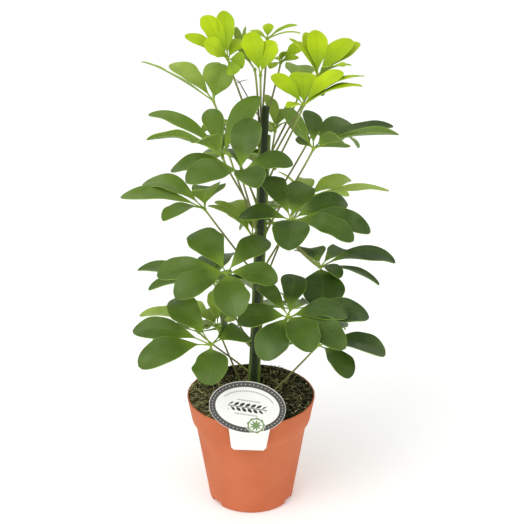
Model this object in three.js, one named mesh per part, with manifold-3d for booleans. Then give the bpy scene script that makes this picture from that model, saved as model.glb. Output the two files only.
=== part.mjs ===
// Umbrella plant in a 12 cm nursery pot: pot, soil, support stake, plant label, three stems and thirty-one
// palmate leaves, each leaf a petiole with its ring of leaflets. Millimetres, +Z up, viewer towards -Y.
// The origin is the middle of the pot's underside, which is the face that the plant stands on.
import * as THREE from "three";
import { mergeVertices } from "three/addons/utils/BufferGeometryUtils.js";
import Module from "manifold-3d";

const wasm = await Module();
wasm.setup();

// Clearance between neighbours that touch on the real plant
const GAP = 0.3;

// How far a cutting tool reaches past what it cuts
const OVERSHOOT = 4;

// Pot
const POT_HEIGHT = 107;
const POT_SIDES = 36;
const RIM_RADIUS = 60;
const BASE_RADIUS = 39.8;
const LIP_HEIGHT = 24;
const LIP_FLARE = 4.5;
const LIP_STEP = 3.3;
const RIM_ROUND = 0.8;
const WALL = 1.6;
const FLOOR = 2.2;
const FOOT_ROUND = 3.2;
const DRAIN_HOLES = 5;
const DRAIN_RING_RADIUS = 26;
const DRAIN_RADIUS = 4;
const DRAIN_SIDES = 8;
const DRAIN_TURN = 18;
const NOTCH_WIDTH = 15;
const NOTCH_DEPTH = 6;
const NOTCH_HEIGHT = 4.8;
const NOTCH_ANGLES = [214, 334, 94];

// Soil
const SOIL_EDGE = 1.2;
const SOIL_RISE = 1.6;
const SOIL_LUMP = 1.1;
const SOIL_RINGS = [49, 36, 20, 0];
const LUMP_LENGTH = 21;
const SOIL_SIDES = 28;

// Stake
const STAKE_RADIUS = 3;
const STAKE_SIDES = 12;
const STAKE_FOOT = 22;
const STAKE_TOP = 396;
const STAKE_Y = -1;
const STAKE_X_AT_SOIL = 2;
const STAKE_LEAN = 0.041;
const SOIL_LEVEL = 108;

// Label: an oval plate with a tab below it in front of the pot and a peg behind it in the soil
const LABEL_OVAL_WIDTH = 70;
const LABEL_OVAL_HEIGHT = 53;
const LABEL_CENTRE_X = -2.9;
const LABEL_CENTRE_Z = 127.2;
const LABEL_TURN = 2;
const OVAL_TURN = 7.5;
const LABEL_THICKNESS = 1;
const OVAL_SIDES = 30;
const LABEL_FRONT_Y = -62;
const TAB_TOP_WIDTH = 39;
const TAB_FOOT_WIDTH = 32;
const TAB_FOOT_DROP = 44.7;
const TAB_SHIFT = 2.4;
const TAB_CORNER = 2.5;
const PEG_WIDTH = 9;
const PEG_HEAD = [-53.2, 118];
const PEG_FOOT = [-44.8, 62];

// Stems, each leaning with the stake: place beside the stake, thickness, foot and top
const STEMS = {
  left: { dx: -2.8, y: 4.8, radius: 2.3, foot: 50, top: 384 },
  right: { dx: 3.6, y: 4.8, radius: 2.3, foot: 50, top: 366 },
  back: { dx: 0.4, y: 11, radius: 2.3, foot: 50, top: 388 },
};
const STEM_SIDES = 8;

// Leaves
const VIEW_TILT = THREE.MathUtils.degToRad(25.4);
const PETIOLE_RADIUS = 1.25;
const PETIOLE_DEPTH = 10;
const PETIOLE_LIFT = 0.03;
const PETIOLE_LIFT_AT = 0.35;
const PETIOLE_BEND = 0.06;
const PETIOLE_BEND_AT = 0.75;
const PETIOLE_SIDES = 5;
const PETIOLE_STEPS = 3;
const KNOB_RADIUS = 2.6;
const STALK_ROOT = 1.2;
const STALK_SHARE = 0.15;
const STALK_HALF_WIDTH = 0.62;
const STALK_HALF_THICKNESS = 0.6;
const BLADE_HALF_THICKNESS = 0.4;
const BLADE_STATIONS = [0.3, 0.62, 0.89];
const NARROW_STATIONS = [0.45, 0.85];
const NARROW_WIDTH = 18.5;
const FAN_SHORTER = 0.12;
const BLADE_FOLD = 0.16;
const BLADE_ARCH = { young: 0.09, light: 0.12, green: 0.14, dark: 0.15 };
const BLADE_FULLNESS = 1.06;
const WIDEST_AT = 0.62;
const BASE_TAPER = 0.75;
const TIP_TAPER = 0.5;

const COLOURS = {
  pot: 0xd27a52,
  soil: 0x33281c,
  stake: 0x2d332d,
  label: 0xf4f4f1,
  stem: 0x82964a,
  young: 0xb5d21f,
  light: 0x9bb84a,
  green: 0x5f8a34,
  dark: 0x47662a,
};

// Every leaf: where its hub lies, the stem and height it grows from (or its place in the soil), the way
// its umbrella faces, and its leaflets. Directions are read as seen from the front, slightly from above:
// right, up and towards the viewer. A leaflet is the reach of its tip from the hub in those three
// directions, its width, how far its blade is rolled about its own length in degrees, and its arch where
// that isn't the usual one. Stalk is the share of a leaflet that is bare stalk, and bow how much of the
// usual bend the leaf's long petiole has.
const LEAVES = [
  {
    name: "leaf_low_left", tone: "dark", hub: [-36, -45, 182], soil: [-24, -22], face: [-0.1, 0.6, 0.8],
    stalk: 0.18,
    leaflets: [
      [-35, 42, -26, 27], [-71, 14, -8, 23], [-64, -17, 22, 29], [1, -33, 38, 31], [34, 8, -28, 25],
      [12, 23, -35, 14, 60],
    ],
  },
  {
    name: "leaf_low_right", tone: "dark", hub: [62, -15, 166], soil: [9, -5], face: [0.1, 0.8, 0.55],
    stalk: 0.17, bow: 0.1,
    leaflets: [
      [61, -7, 12, 30], [28, -28, 25, 25], [-27, 2, -15, 20], [22, 22, -42, 24], [-8, 18, -48, 22],
    ],
  },
  {
    name: "leaf_low_left_behind", tone: "light", hub: [-31, 10, 171], soil: [-6, 19],
    face: [-0.1, 0.85, 0.5], stalk: 0.16, bow: 0.1,
    leaflets: [
      [2, 38, -20, 19], [-73, 13, -8, 20], [-12, 17, -25, 13], [-38, 22, -38, 22], [18, 16, -28, 18],
      [17, 9, 12, 14],
    ],
  },
  {
    name: "leaf_low_back_left", tone: "dark", hub: [-50, 52, 145], stem: "back", root: 120,
    face: [-0.3, 0.9, 0.2], fan: { count: 5, from: 15, to: 150, length: 54, droop: 22, width: 24 },
  },
  {
    name: "leaf_low_back_right", tone: "dark", hub: [38, 62, 165], stem: "back", root: 128,
    face: [0.2, 0.9, 0.2], fan: { count: 5, from: 5, to: 170, length: 58, droop: 24, width: 25 },
  },
  {
    name: "leaf_lower_left_behind", tone: "dark", hub: [-32, -10, 230], stem: "left", root: 152,
    face: [-0.3, 0.85, 0.4], arch: 0.08,
    leaflets: [
      [-71, 11, -6, 18], [-60, -7, 18, 19], [-8, 24, -40, 18], [13, 26, -38, 18],
    ],
  },
  {
    name: "leaf_lower_left", tone: "dark", hub: [-21, -70, 266], stem: "left", root: 190,
    face: [0, 0.62, 0.78], stalk: 0.09,
    leaflets: [
      [-29, 37, -26, 30], [-61, -1, -2, 24], [-44, -20, 22, 26], [8, -37, 34, 30], [45, -6, 4, 22],
      [37, 30, -24, 23],
    ],
  },
  {
    name: "leaf_lower_right", tone: "dark", hub: [34, -70, 223], stem: "right", root: 150,
    face: [0, 0.6, 0.8], stalk: 0.09,
    leaflets: [
      [-27, 30, -26, 15], [6, 38, -32, 22], [72, 1, -14, 25], [52, 3, 8, 23], [49, -26, 26, 25],
      [19, -28, 42, 28], [-23, -36, 30, 28], [-45, -3, 2, 24],
    ],
  },
  {
    name: "leaf_lower_back_left", tone: "dark", hub: [-36, 61, 193], stem: "back", root: 172,
    face: [-0.3, 0.9, 0.2], fan: { count: 5, from: 20, to: 135, length: 52, droop: 22, width: 24 },
  },
  {
    name: "leaf_side_right", tone: "dark", hub: [64, 12, 233], stem: "back", root: 288,
    face: [0.1, 0.85, 0.5], petiole: 1.7, stalk: 0.12,
    leaflets: [
      [-11, 17, -40, 24], [26, 16, -38, 20], [69, 6, -4, 23], [53, -15, 18, 15, -10, 0.1],
      [0, -37, 38, 37], [17, -9, 28, 14], [-22, 16, -28, 13],
    ],
  },
  {
    name: "leaf_middle_right", tone: "dark", hub: [36, -55, 310], stem: "right", root: 232,
    face: [0, 0.62, 0.78], stalk: 0.1,
    leaflets: [
      [-22, 39, -30, 20], [13, 33, -26, 25], [49, 17, -14, 24], [69, -9, 4, 22], [53, -17, 26, 20],
      [-3, -25, 50, 30], [-46, 4, -8, 18],
    ],
  },
  {
    name: "leaf_middle_back_right", tone: "dark", hub: [40, 80, 262], stem: "back", root: 200,
    face: [0.2, 0.9, 0.2], fan: { count: 5, from: 5, to: 170, length: 58, droop: 26, width: 25 },
  },
  {
    name: "leaf_middle_right_behind", tone: "light", hub: [50, 45, 288], stem: "back", root: 222,
    face: [0.2, 0.9, 0.4], arch: 0.06, stalk: 0.14,
    leaflets: [
      [42, 19, -20, 21], [77, 8, 4, 17], [39, 2, 28, 14], [0, 20, -34, 17], [-24, 25, -8, 8, 20],
      [-26, 10, -30, 18],
    ],
  },
  {
    name: "leaf_middle_left", tone: "green", hub: [-41, -10, 301], stem: "left", root: 228,
    face: [-0.1, 0.85, 0.45], stalk: 0.13, bow: 0.2,
    leaflets: [
      [-56, 25, -22, 25], [-75, 12, 2, 23, 0, 0.1], [-36, -10, 30, 19], [6, 22, -42, 30], [4, 18, 38, 26],
    ],
  },
  {
    name: "leaf_middle_back", tone: "light", hub: [1, 30, 256], stem: "back", root: 226,
    face: [-0.3, 0.85, 0.4],
    leaflets: [
      [-40, 29, -6, 9, 20], [-34, 33, -14, 10, 18], [-19, 33, -30, 22], [10, 25, -40, 22],
      [28, 12, -35, 20],
    ],
  },
  {
    name: "leaf_upper_back_left", tone: "green", hub: [-20, 65, 322], stem: "back", root: 258,
    face: [-0.2, 0.9, 0.2], fan: { count: 5, from: 20, to: 140, length: 50, droop: 24, width: 23 },
  },
  {
    name: "leaf_upper_left_front", tone: "dark", hub: [-8, -62, 359], stem: "left", root: 272,
    face: [0, 0.66, 0.75], stalk: 0.09,
    leaflets: [
      [-61, 3, -14, 21], [-46, -9, 28, 27], [45, 9, -10, 20], [14, -14, 44, 25], [8, 47, -8, 26],
      [-4, 20, -44, 18],
    ],
  },
  {
    name: "leaf_upper_left", tone: "green", hub: [-24, -30, 359], stem: "left", root: 282,
    face: [0, 0.75, 0.65], stalk: 0.12,
    leaflets: [
      [-65, 40, -10, 18, 8], [-13, 45, -26, 18], [31, 54, 2, 24], [-66, 17, 8, 20, 58],
      [-22, 12, 44, 22, 38], [-6, 22, -44, 20],
    ],
  },
  {
    name: "leaf_upper_right", tone: "dark", hub: [56, 0, 355], stem: "right", root: 268,
    face: [0.2, 0.85, 0.45], arch: 0.08, stalk: 0.13,
    leaflets: [
      [-3, 37, -30, 17], [33, 27, -32, 24], [71, 22, -6, 17], [75, 14, 8, 19, -45], [27, 4, 34, 24, -45],
      [-13, 13, -20, 12, -50], [-25, 38, -6, 13, 130],
    ],
  },
  {
    name: "leaf_upper_back_right", tone: "green", hub: [58, 68, 345], stem: "back", root: 276,
    face: [0.3, 0.9, 0.2], fan: { count: 4, from: 20, to: 110, length: 50, droop: 26, width: 22 },
  },
  {
    name: "leaf_upper_middle", tone: "light", hub: [22, 25, 362], stem: "right", root: 320,
    face: [0, 0.9, 0.3],
    leaflets: [
      [-2, 30, -8, 9], [9, 21, -16, 11], [-7, 8, 10, 6], [10, 7, 10, 6], [-8, 34, -12, 9],
    ],
  },
  {
    name: "leaf_top_far_left", tone: "light", hub: [-33, 25, 391], stem: "left", root: 296,
    face: [-0.2, 0.9, 0.3], stalk: 0.12,
    leaflets: [
      [-63, 36, 6, 15, 20, 0.03], [-39, 36, -24, 20, 0, 0.08], [1, 37, -22, 16], [10, 32, 4, 22, 60],
    ],
  },
  {
    name: "leaf_top_right_behind", tone: "light", hub: [45, 50, 390], stem: "back", root: 330,
    face: [0.1, 0.9, 0.3],
    leaflets: [
      [-2, 28, -34, 26], [14, 18, -40, 18], [-14, 4, 24, 12], [20, 0, -30, 14],
    ],
  },
  {
    name: "leaf_top_back", tone: "light", hub: [-14, 62, 352], stem: "back", root: 320,
    face: [0, 0.9, 0.2], fan: { count: 4, from: 40, to: 140, length: 46, droop: 20, width: 18 },
  },
  {
    name: "leaf_top_bud", tone: "young", hub: [27, 45, 420], stem: "back", root: 374, face: [0, 0.9, 0.3],
    leaflets: [
      [21, 18, -8, 11, 40], [16, 4, 4, 7, 30], [-10, -6, 12, 8], [-5, 6, -14, 7], [4, 9, 10, 7],
    ],
  },
  {
    name: "leaf_top_right_front", tone: "young", hub: [46, -40, 412], stem: "right", root: 318,
    face: [0, 0.7, 0.7], stalk: 0.1,
    leaflets: [
      [-27, 27, -8, 15], [0, 31, -26, 24], [34, 30, -8, 17, -8], [52, 27, -6, 14, -32],
      [50, 17, 6, 18, -30], [-15, -2, 10, 9, 20],
    ],
  },
  {
    name: "leaf_top_right", tone: "young", hub: [59, 5, 422], stem: "right", root: 334,
    face: [0.1, 0.6, 0.8], stalk: 0.1,
    leaflets: [
      [-1, 42, -12, 18], [-10, 41, -20, 12], [-24, 34, -4, 9, 30], [30, 34, -12, 18], [38, 32, -22, 12],
      [29, 9, 12, 8, -40], [22, 7, 26, 18, -35],
    ],
  },
  {
    name: "leaf_top_middle_small", tone: "young", hub: [15, 15, 453], stem: "left", root: 378,
    face: [0, 0.9, 0.4],
    leaflets: [
      [1, 14, -6, 9], [26, 13, -6, 6], [-15, 8, -6, 8], [-9, 3, 4, 5], [29, 5, 4, 3, -10],
    ],
  },
  {
    name: "leaf_top_middle", tone: "young", hub: [9, -12, 429], stem: "left", root: 359,
    face: [0, 0.5, 0.86], stalk: 0.12, bow: 1.7,
    leaflets: [
      [-10, 38, -6, 18], [10, 31, -4, 17],
    ],
  },
  {
    name: "leaf_top_middle_behind", tone: "light", hub: [4, 8, 427], stem: "left", root: 346,
    face: [-0.4, 0.7, -0.5], stalk: 0.12,
    leaflets: [
      [-17, 38, -10, 8], [-9, 39, -18, 6],
    ],
  },
  {
    name: "leaf_top_left", tone: "young", hub: [-19.5, -5, 441.5], stem: "left", root: 350,
    face: [0, 0.5, 0.86], stalk: 0.1,
    leaflets: [
      [-21, 39, -10, 17], [-4, 44, -14, 15], [-37, 21, 0, 11], [-20, 13, 14, 17], [11, 19, -17, 13],
      [15, -3, 8, 14, -130], [6, -14, 6, 12, -150],
    ],
  },
];

// Solids: closed geometry in and out of the boolean library
function toSolid(geometry) {
  const bare = geometry.index ? geometry.toNonIndexed() : geometry.clone();
  bare.deleteAttribute("normal");
  bare.deleteAttribute("uv");
  const merged = mergeVertices(bare, 1e-4);
  return new wasm.Manifold(
    new wasm.Mesh({
      numProp: 3,
      vertProperties: merged.attributes.position.array,
      triVerts: new Uint32Array(merged.index.array),
    }),
  );
}

function toGeometry(solid) {
  const mesh = solid.getMesh();
  const positions = new Float32Array(mesh.numVert * 3);
  for (let i = 0; i < mesh.numVert; i++) {
    positions.set(mesh.vertProperties.subarray(i * mesh.numProp, i * mesh.numProp + 3), i * 3);
  }
  const geometry = new THREE.BufferGeometry();
  geometry.setAttribute("position", new THREE.BufferAttribute(positions, 3));
  geometry.setIndex(new THREE.BufferAttribute(mesh.triVerts, 1));
  geometry.computeVertexNormals();
  return geometry;
}

function finish(colour, roughness) {
  return new THREE.MeshStandardMaterial({ color: colour, roughness, metalness: 0, flatShading: true });
}

function piece(name, solid, colour, roughness) {
  const mesh = new THREE.Mesh(toGeometry(solid), finish(colour, roughness));
  mesh.name = name;
  return mesh;
}

function circle(radius, sides) {
  const shape = new THREE.Shape();
  for (let i = 0; i < sides; i++) {
    const angle = (i / sides) * 2 * Math.PI;
    const corner = [radius * Math.cos(angle), radius * Math.sin(angle)];
    if (i === 0) shape.moveTo(...corner);
    else shape.lineTo(...corner);
  }
  return shape;
}

// A rod of round section along a curve
function rod(curve, radius, sides, steps) {
  return toSolid(
    new THREE.ExtrudeGeometry(circle(radius, sides), { steps, extrudePath: curve, bevelEnabled: false }),
  );
}

function lathe(profile, sides) {
  const points = profile.map(([radius, height]) => new THREE.Vector2(radius, height));
  const geometry = new THREE.LatheGeometry(points, sides);
  geometry.rotateX(Math.PI / 2);
  return geometry;
}

// Pot: tapered body, a lip band round the rim, drain holes in the floor and three notches in the foot
const lipFoot = POT_HEIGHT - LIP_HEIGHT;
const bodyTop = lipFoot - LIP_STEP;
const lipRadius = RIM_RADIUS - LIP_FLARE;
const bodyTopRadius = lipRadius - LIP_STEP;

function innerRadius(height) {
  if (height >= lipFoot) return RIM_RADIUS - WALL - (LIP_FLARE * (POT_HEIGHT - height)) / LIP_HEIGHT;
  return BASE_RADIUS - WALL + ((bodyTopRadius - BASE_RADIUS) * height) / bodyTop;
}

const outerProfile = [
  [0, 0],
  [BASE_RADIUS - FOOT_ROUND, 0],
  [BASE_RADIUS - 0.3 * FOOT_ROUND, 0.3 * FOOT_ROUND],
  [BASE_RADIUS, FOOT_ROUND],
  [bodyTopRadius, bodyTop],
  [lipRadius, lipFoot],
  [RIM_RADIUS - RIM_ROUND / 3, POT_HEIGHT - RIM_ROUND],
  [RIM_RADIUS - RIM_ROUND, POT_HEIGHT],
];

const innerProfile = [
  [RIM_RADIUS - WALL, POT_HEIGHT],
  [innerRadius(lipFoot), lipFoot],
  [innerRadius(bodyTop), bodyTop],
  [innerRadius(FLOOR + FOOT_ROUND), FLOOR + FOOT_ROUND],
  [innerRadius(FLOOR) - FOOT_ROUND, FLOOR],
  [0, FLOOR],
];

// The block that a notch takes out of the foot, from below the foot to past the wall, grown by extra
function notchBlock(angle, extra) {
  const from = BASE_RADIUS - NOTCH_DEPTH - extra;
  const depth = BASE_RADIUS + OVERSHOOT - from;
  const height = NOTCH_HEIGHT + extra + OVERSHOOT;
  const geometry = new THREE.BoxGeometry(depth, NOTCH_WIDTH + 2 * extra, height);
  geometry.translate(from + depth / 2, 0, height / 2 - OVERSHOOT);
  geometry.rotateZ(THREE.MathUtils.degToRad(angle));
  return toSolid(geometry);
}

function makePot() {
  let pot = toSolid(lathe([...outerProfile, ...innerProfile], POT_SIDES));
  const body = toSolid(lathe([...outerProfile, [0, POT_HEIGHT]], POT_SIDES));
  for (const angle of NOTCH_ANGLES) {
    pot = pot.add(notchBlock(angle, WALL).intersect(body)).subtract(notchBlock(angle, 0));
  }
  for (let i = 0; i < DRAIN_HOLES; i++) {
    const hole = new THREE.CylinderGeometry(DRAIN_RADIUS, DRAIN_RADIUS, 2 * OVERSHOOT, DRAIN_SIDES);
    hole.rotateX(Math.PI / 2);
    hole.translate(DRAIN_RING_RADIUS, 0, 0);
    hole.rotateZ(THREE.MathUtils.degToRad(DRAIN_TURN + (360 * i) / DRAIN_HOLES));
    pot = pot.subtract(toSolid(hole));
  }
  return pot;
}

// Soil: fills the pot and stands a little above the rim in soft lumps
function lump(x, y) {
  const [across, along] = [(2 * Math.PI * x) / LUMP_LENGTH, (2 * Math.PI * y) / LUMP_LENGTH];
  return SOIL_LUMP * (Math.sin(across + 1) * Math.cos(along) + Math.sin(1.7 * along + 0.6 * across) / 2);
}

function makeSoil(holes) {
  const edge = POT_HEIGHT + SOIL_EDGE;
  const profile = [
    [0, FLOOR + GAP],
    [innerRadius(FLOOR) - FOOT_ROUND - GAP, FLOOR + GAP],
    [innerRadius(FLOOR + FOOT_ROUND) - GAP, FLOOR + FOOT_ROUND + GAP],
    [innerRadius(bodyTop) - GAP, bodyTop + GAP],
    [innerRadius(lipFoot) - GAP, lipFoot + GAP],
    [innerRadius(POT_HEIGHT) - GAP, edge],
    ...SOIL_RINGS.map((radius) => [radius, edge + SOIL_RISE * Math.cos((1.5 * radius) / RIM_RADIUS)]),
  ];
  const geometry = lathe(profile, SOIL_SIDES);
  const position = geometry.attributes.position;
  for (let i = 0; i < position.count; i++) {
    const height = position.getZ(i);
    if (height > edge) position.setZ(i, height + lump(position.getX(i), position.getY(i)));
  }
  return holes.reduce((soil, hole) => soil.subtract(hole), toSolid(geometry));
}

// Stake
function stakeAt(height) {
  return new THREE.Vector3(STAKE_X_AT_SOIL + STAKE_LEAN * (height - SOIL_LEVEL), STAKE_Y, height);
}

function stakeRod(extra) {
  const line = new THREE.LineCurve3(stakeAt(STAKE_FOOT - extra), stakeAt(STAKE_TOP + extra));
  return rod(line, STAKE_RADIUS + extra, STAKE_SIDES, 1);
}

// Label
function ovalShape() {
  const shape = new THREE.Shape();
  const turn = THREE.MathUtils.degToRad(-OVAL_TURN);
  shape.absellipse(0, 0, LABEL_OVAL_WIDTH / 2, LABEL_OVAL_HEIGHT / 2, 0, 2 * Math.PI, false, turn);
  return shape;
}

function tabShape() {
  const top = TAB_TOP_WIDTH / 2;
  const foot = TAB_FOOT_WIDTH / 2;
  const shape = new THREE.Shape();
  shape.moveTo(TAB_SHIFT - top, -LABEL_OVAL_HEIGHT / 3);
  shape.lineTo(TAB_SHIFT - foot, TAB_CORNER - TAB_FOOT_DROP);
  shape.lineTo(TAB_SHIFT - foot + TAB_CORNER, -TAB_FOOT_DROP);
  shape.lineTo(TAB_SHIFT + foot - TAB_CORNER, -TAB_FOOT_DROP);
  shape.lineTo(TAB_SHIFT + foot, TAB_CORNER - TAB_FOOT_DROP);
  shape.lineTo(TAB_SHIFT + top, -LABEL_OVAL_HEIGHT / 3);
  return shape;
}

// Turns a flat outline into a plate that faces the viewer at the label's place
function labelPlate(shape, curveSegments) {
  const geometry = new THREE.ExtrudeGeometry(shape, {
    depth: LABEL_THICKNESS, bevelEnabled: false, curveSegments,
  });
  geometry.rotateZ(THREE.MathUtils.degToRad(-LABEL_TURN));
  geometry.rotateX(Math.PI / 2);
  geometry.translate(LABEL_CENTRE_X, LABEL_FRONT_Y + LABEL_THICKNESS, LABEL_CENTRE_Z);
  return toSolid(geometry);
}

// A strip of the label's side view, [y, z] corners, as wide as the peg
function labelStrip(corners, extra) {
  const shape = new THREE.Shape(corners.map(([y, z]) => new THREE.Vector2(y, z)));
  const width = PEG_WIDTH + 2 * extra;
  const geometry = new THREE.ExtrudeGeometry(shape, { depth: width, bevelEnabled: false });
  geometry.translate(0, 0, -width / 2);
  geometry.rotateY(Math.PI / 2);
  geometry.rotateX(Math.PI / 2);
  geometry.translate(LABEL_CENTRE_X, 0, 0);
  return toSolid(geometry);
}

function labelPeg(extra) {
  const [headY, headZ] = PEG_HEAD;
  const [footY, footZ] = PEG_FOOT;
  return labelStrip(
    [
      [footY - LABEL_THICKNESS - extra, footZ - extra],
      [footY + extra, footZ - extra],
      [headY + extra, headZ + extra],
      [headY - LABEL_THICKNESS - extra, headZ + extra],
    ],
    extra,
  );
}

function makeLabel() {
  const [headY, headZ] = PEG_HEAD;
  const back = LABEL_FRONT_Y + LABEL_THICKNESS / 2;
  const bridge = [
    [back, headZ - LABEL_THICKNESS],
    [headY, headZ - LABEL_THICKNESS],
    [headY, headZ],
    [back, headZ],
  ];
  return labelPlate(ovalShape(), OVAL_SIDES)
    .add(labelPlate(tabShape(), 1))
    .add(labelStrip(bridge, 0))
    .add(labelPeg(0));
}

// Stems
function stemAt(stem, height) {
  return stakeAt(height).add(new THREE.Vector3(stem.dx, stem.y - STAKE_Y, 0));
}

function stemRod(stem, extra) {
  const line = new THREE.LineCurve3(stemAt(stem, stem.foot - extra), stemAt(stem, stem.top + extra));
  return rod(line, stem.radius + extra, STEM_SIDES, 1);
}

// Leaves. The front view's own directions in the plant's frame:
const RIGHT = new THREE.Vector3(1, 0, 0);
const UP = new THREE.Vector3(0, Math.sin(VIEW_TILT), Math.cos(VIEW_TILT));
const TOWARDS = new THREE.Vector3(0, -Math.cos(VIEW_TILT), Math.sin(VIEW_TILT));

function seen([right, up, towards]) {
  return new THREE.Vector3()
    .addScaledVector(RIGHT, right)
    .addScaledVector(UP, up)
    .addScaledVector(TOWARDS, towards);
}

// A blade is narrow at its stalk, widest past its middle and blunt at its tip
function halfWidthShare(share) {
  const power = Math.log(0.5) / Math.log(WIDEST_AT);
  const taper = share < WIDEST_AT ? BASE_TAPER : TIP_TAPER;
  return Math.pow(Math.sin(Math.PI * Math.pow(share, power)), taper);
}

// The rows across a leaflet, each with its place along it, half width, half thickness and columns
function leafletRows(length, width, stalkShare) {
  const stalk = { half: STALK_HALF_WIDTH, thick: STALK_HALF_THICKNESS, columns: [-1, 1] };
  const rows = [{ at: STALK_ROOT / length, ...stalk }, { at: stalkShare, ...stalk }];
  for (const share of width < NARROW_WIDTH ? NARROW_STATIONS : BLADE_STATIONS) {
    const at = stalkShare + (1 - stalkShare) * share;
    const half = (BLADE_FULLNESS * width * halfWidthShare(share)) / 2;
    rows.push({ at, half, thick: BLADE_HALF_THICKNESS, columns: [-1, 0, 1] });
  }
  rows.push({ at: 1, half: 0, thick: BLADE_HALF_THICKNESS, columns: [0] });
  return rows;
}

// One leaflet from the hub to its tip: a flat stalk that widens into a folded, arching blade
function leaflet(hub, facing, stalkShare, { reach, width, roll, arch }) {
  const length = reach.length();
  const along = reach.clone().normalize();
  const normal = facing.clone().addScaledVector(along, -facing.dot(along)).normalize();
  normal.applyAxisAngle(along, THREE.MathUtils.degToRad(roll));
  const side = along.clone().cross(normal);
  const crown = hub.clone().addScaledVector(reach, 0.5).addScaledVector(normal, 2 * arch * length);
  const line = new THREE.QuadraticBezierCurve3(hub, crown, hub.clone().add(reach));
  const points = [];
  const rows = leafletRows(length, width, stalkShare).map(({ at, half, thick, columns }) => {
    const middle = line.getPoint(at);
    const over = side.clone().cross(line.getTangent(at)).normalize();
    const face = (offset) =>
      columns.map((column) => {
        const lift = offset + Math.abs(column) * BLADE_FOLD * Math.max(0, half - STALK_HALF_WIDTH);
        const point = middle.clone().addScaledVector(side, column * half).addScaledVector(over, lift);
        return points.push(point) - 1;
      });
    return { over: face(thick), under: face(-thick) };
  });
  const geometry = new THREE.BufferGeometry().setFromPoints(points);
  geometry.setIndex(skin(rows));
  return toSolid(geometry);
}

// Faces between two neighbouring rows of one side of a blade, from left to right
function stitch(near, far) {
  const faces = [];
  let i = 0;
  let j = 0;
  while (i < near.length - 1 || j < far.length - 1) {
    const farFirst = (j + 0.5) * (near.length - 1) < (i + 0.5) * (far.length - 1);
    if (j < far.length - 1 && (i === near.length - 1 || farFirst)) {
      faces.push([near[i], far[j + 1], far[j]]);
      j += 1;
    } else {
      faces.push([near[i], near[i + 1], far[j]]);
      i += 1;
    }
  }
  return faces;
}

// Closes a blade's rows, split alike above and below
function skin(rows) {
  const faces = [];
  const quad = (a, b, c, d) => faces.push([a, b, c], [a, c, d]);
  const root = rows[0];
  for (let i = 0; i < root.over.length - 1; i++) {
    quad(root.over[i], root.under[i], root.under[i + 1], root.over[i + 1]);
  }
  for (let row = 0; row < rows.length - 1; row++) {
    const [near, far] = [rows[row], rows[row + 1]];
    faces.push(...stitch(near.over, far.over));
    faces.push(...stitch(near.under, far.under).map(([a, b, c]) => [a, c, b]));
    quad(near.under.at(-1), far.under.at(-1), far.over.at(-1), near.over.at(-1));
    quad(near.under[0], near.over[0], far.over[0], far.under[0]);
  }
  return faces.flat();
}

// The leaflets of a leaf at the back, spread evenly round its hub and hanging a little
function fanReaches({ count, from, to, length, droop, width }, arch) {
  const fall = THREE.MathUtils.degToRad(droop);
  return Array.from({ length: count }, (_, i) => {
    const turn = THREE.MathUtils.degToRad(from + ((to - from) * i) / (count - 1));
    const long = length * (1 - FAN_SHORTER * (i % 2));
    const out = long * Math.cos(fall);
    const reach = new THREE.Vector3(out * Math.cos(turn), out * Math.sin(turn), -long * Math.sin(fall));
    return { reach, width, roll: 0, arch };
  });
}

function leafletsOf(leaf) {
  const usual = leaf.arch ?? BLADE_ARCH[leaf.tone];
  if (leaf.fan) return fanReaches(leaf.fan, usual);
  return leaf.leaflets.map(([right, up, towards, width, roll = 0, arch = usual]) => {
    return { reach: seen([right, up, towards]), width, roll, arch };
  });
}

function petioleCurve(leaf) {
  const hub = new THREE.Vector3(...leaf.hub);
  const root = leaf.soil
    ? new THREE.Vector3(leaf.soil[0], leaf.soil[1], SOIL_LEVEL - PETIOLE_DEPTH)
    : stemAt(STEMS[leaf.stem], leaf.root);
  const span = hub.distanceTo(root);
  const start = root.clone().lerp(hub, PETIOLE_LIFT_AT);
  const bow = (leaf.bow ?? 1) * span;
  start.z += PETIOLE_LIFT * bow;
  const end = root.clone().lerp(hub, PETIOLE_BEND_AT);
  end.addScaledVector(seen(leaf.face).normalize(), -PETIOLE_BEND * bow);
  return new THREE.CubicBezierCurve3(root, start, end, hub);
}

function petioleRod(leaf, extra) {
  return rod(petioleCurve(leaf), (leaf.petiole ?? PETIOLE_RADIUS) + extra, PETIOLE_SIDES, PETIOLE_STEPS);
}

function makeLeaf(leaf) {
  const hub = new THREE.Vector3(...leaf.hub);
  const knob = new THREE.OctahedronGeometry(KNOB_RADIUS, 0).translate(...leaf.hub);
  const facing = seen(leaf.face).normalize();
  let solid = petioleRod(leaf, 0);
  if (leaf.stem) solid = solid.subtract(stemRod(STEMS[leaf.stem], GAP));
  solid = solid.add(toSolid(knob));
  for (const form of leafletsOf(leaf)) {
    solid = solid.add(leaflet(hub, facing, leaf.stalk ?? STALK_SHARE, form));
  }
  return solid;
}

// The whole plant
function makePlant() {
  const group = new THREE.Group();
  const fromSoil = LEAVES.filter((leaf) => leaf.soil);
  const holes = [
    stakeRod(GAP),
    labelPeg(GAP),
    ...Object.values(STEMS).map((stem) => stemRod(stem, GAP)),
    ...fromSoil.map((leaf) => petioleRod(leaf, GAP)),
    ...NOTCH_ANGLES.map((angle) => notchBlock(angle, WALL + GAP)),
  ];
  group.add(piece("pot", makePot(), COLOURS.pot, 0.55));
  group.add(piece("soil", makeSoil(holes), COLOURS.soil, 1));
  group.add(piece("stake", stakeRod(0), COLOURS.stake, 0.6));
  group.add(piece("label", makeLabel(), COLOURS.label, 0.4));
  for (const [side, stem] of Object.entries(STEMS)) {
    group.add(piece(`stem_${side}`, stemRod(stem, 0), COLOURS.stem, 0.6));
  }
  for (const leaf of LEAVES) {
    group.add(piece(leaf.name, makeLeaf(leaf), COLOURS[leaf.tone], 0.45));
  }
  return group;
}

export default makePlant();
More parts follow.
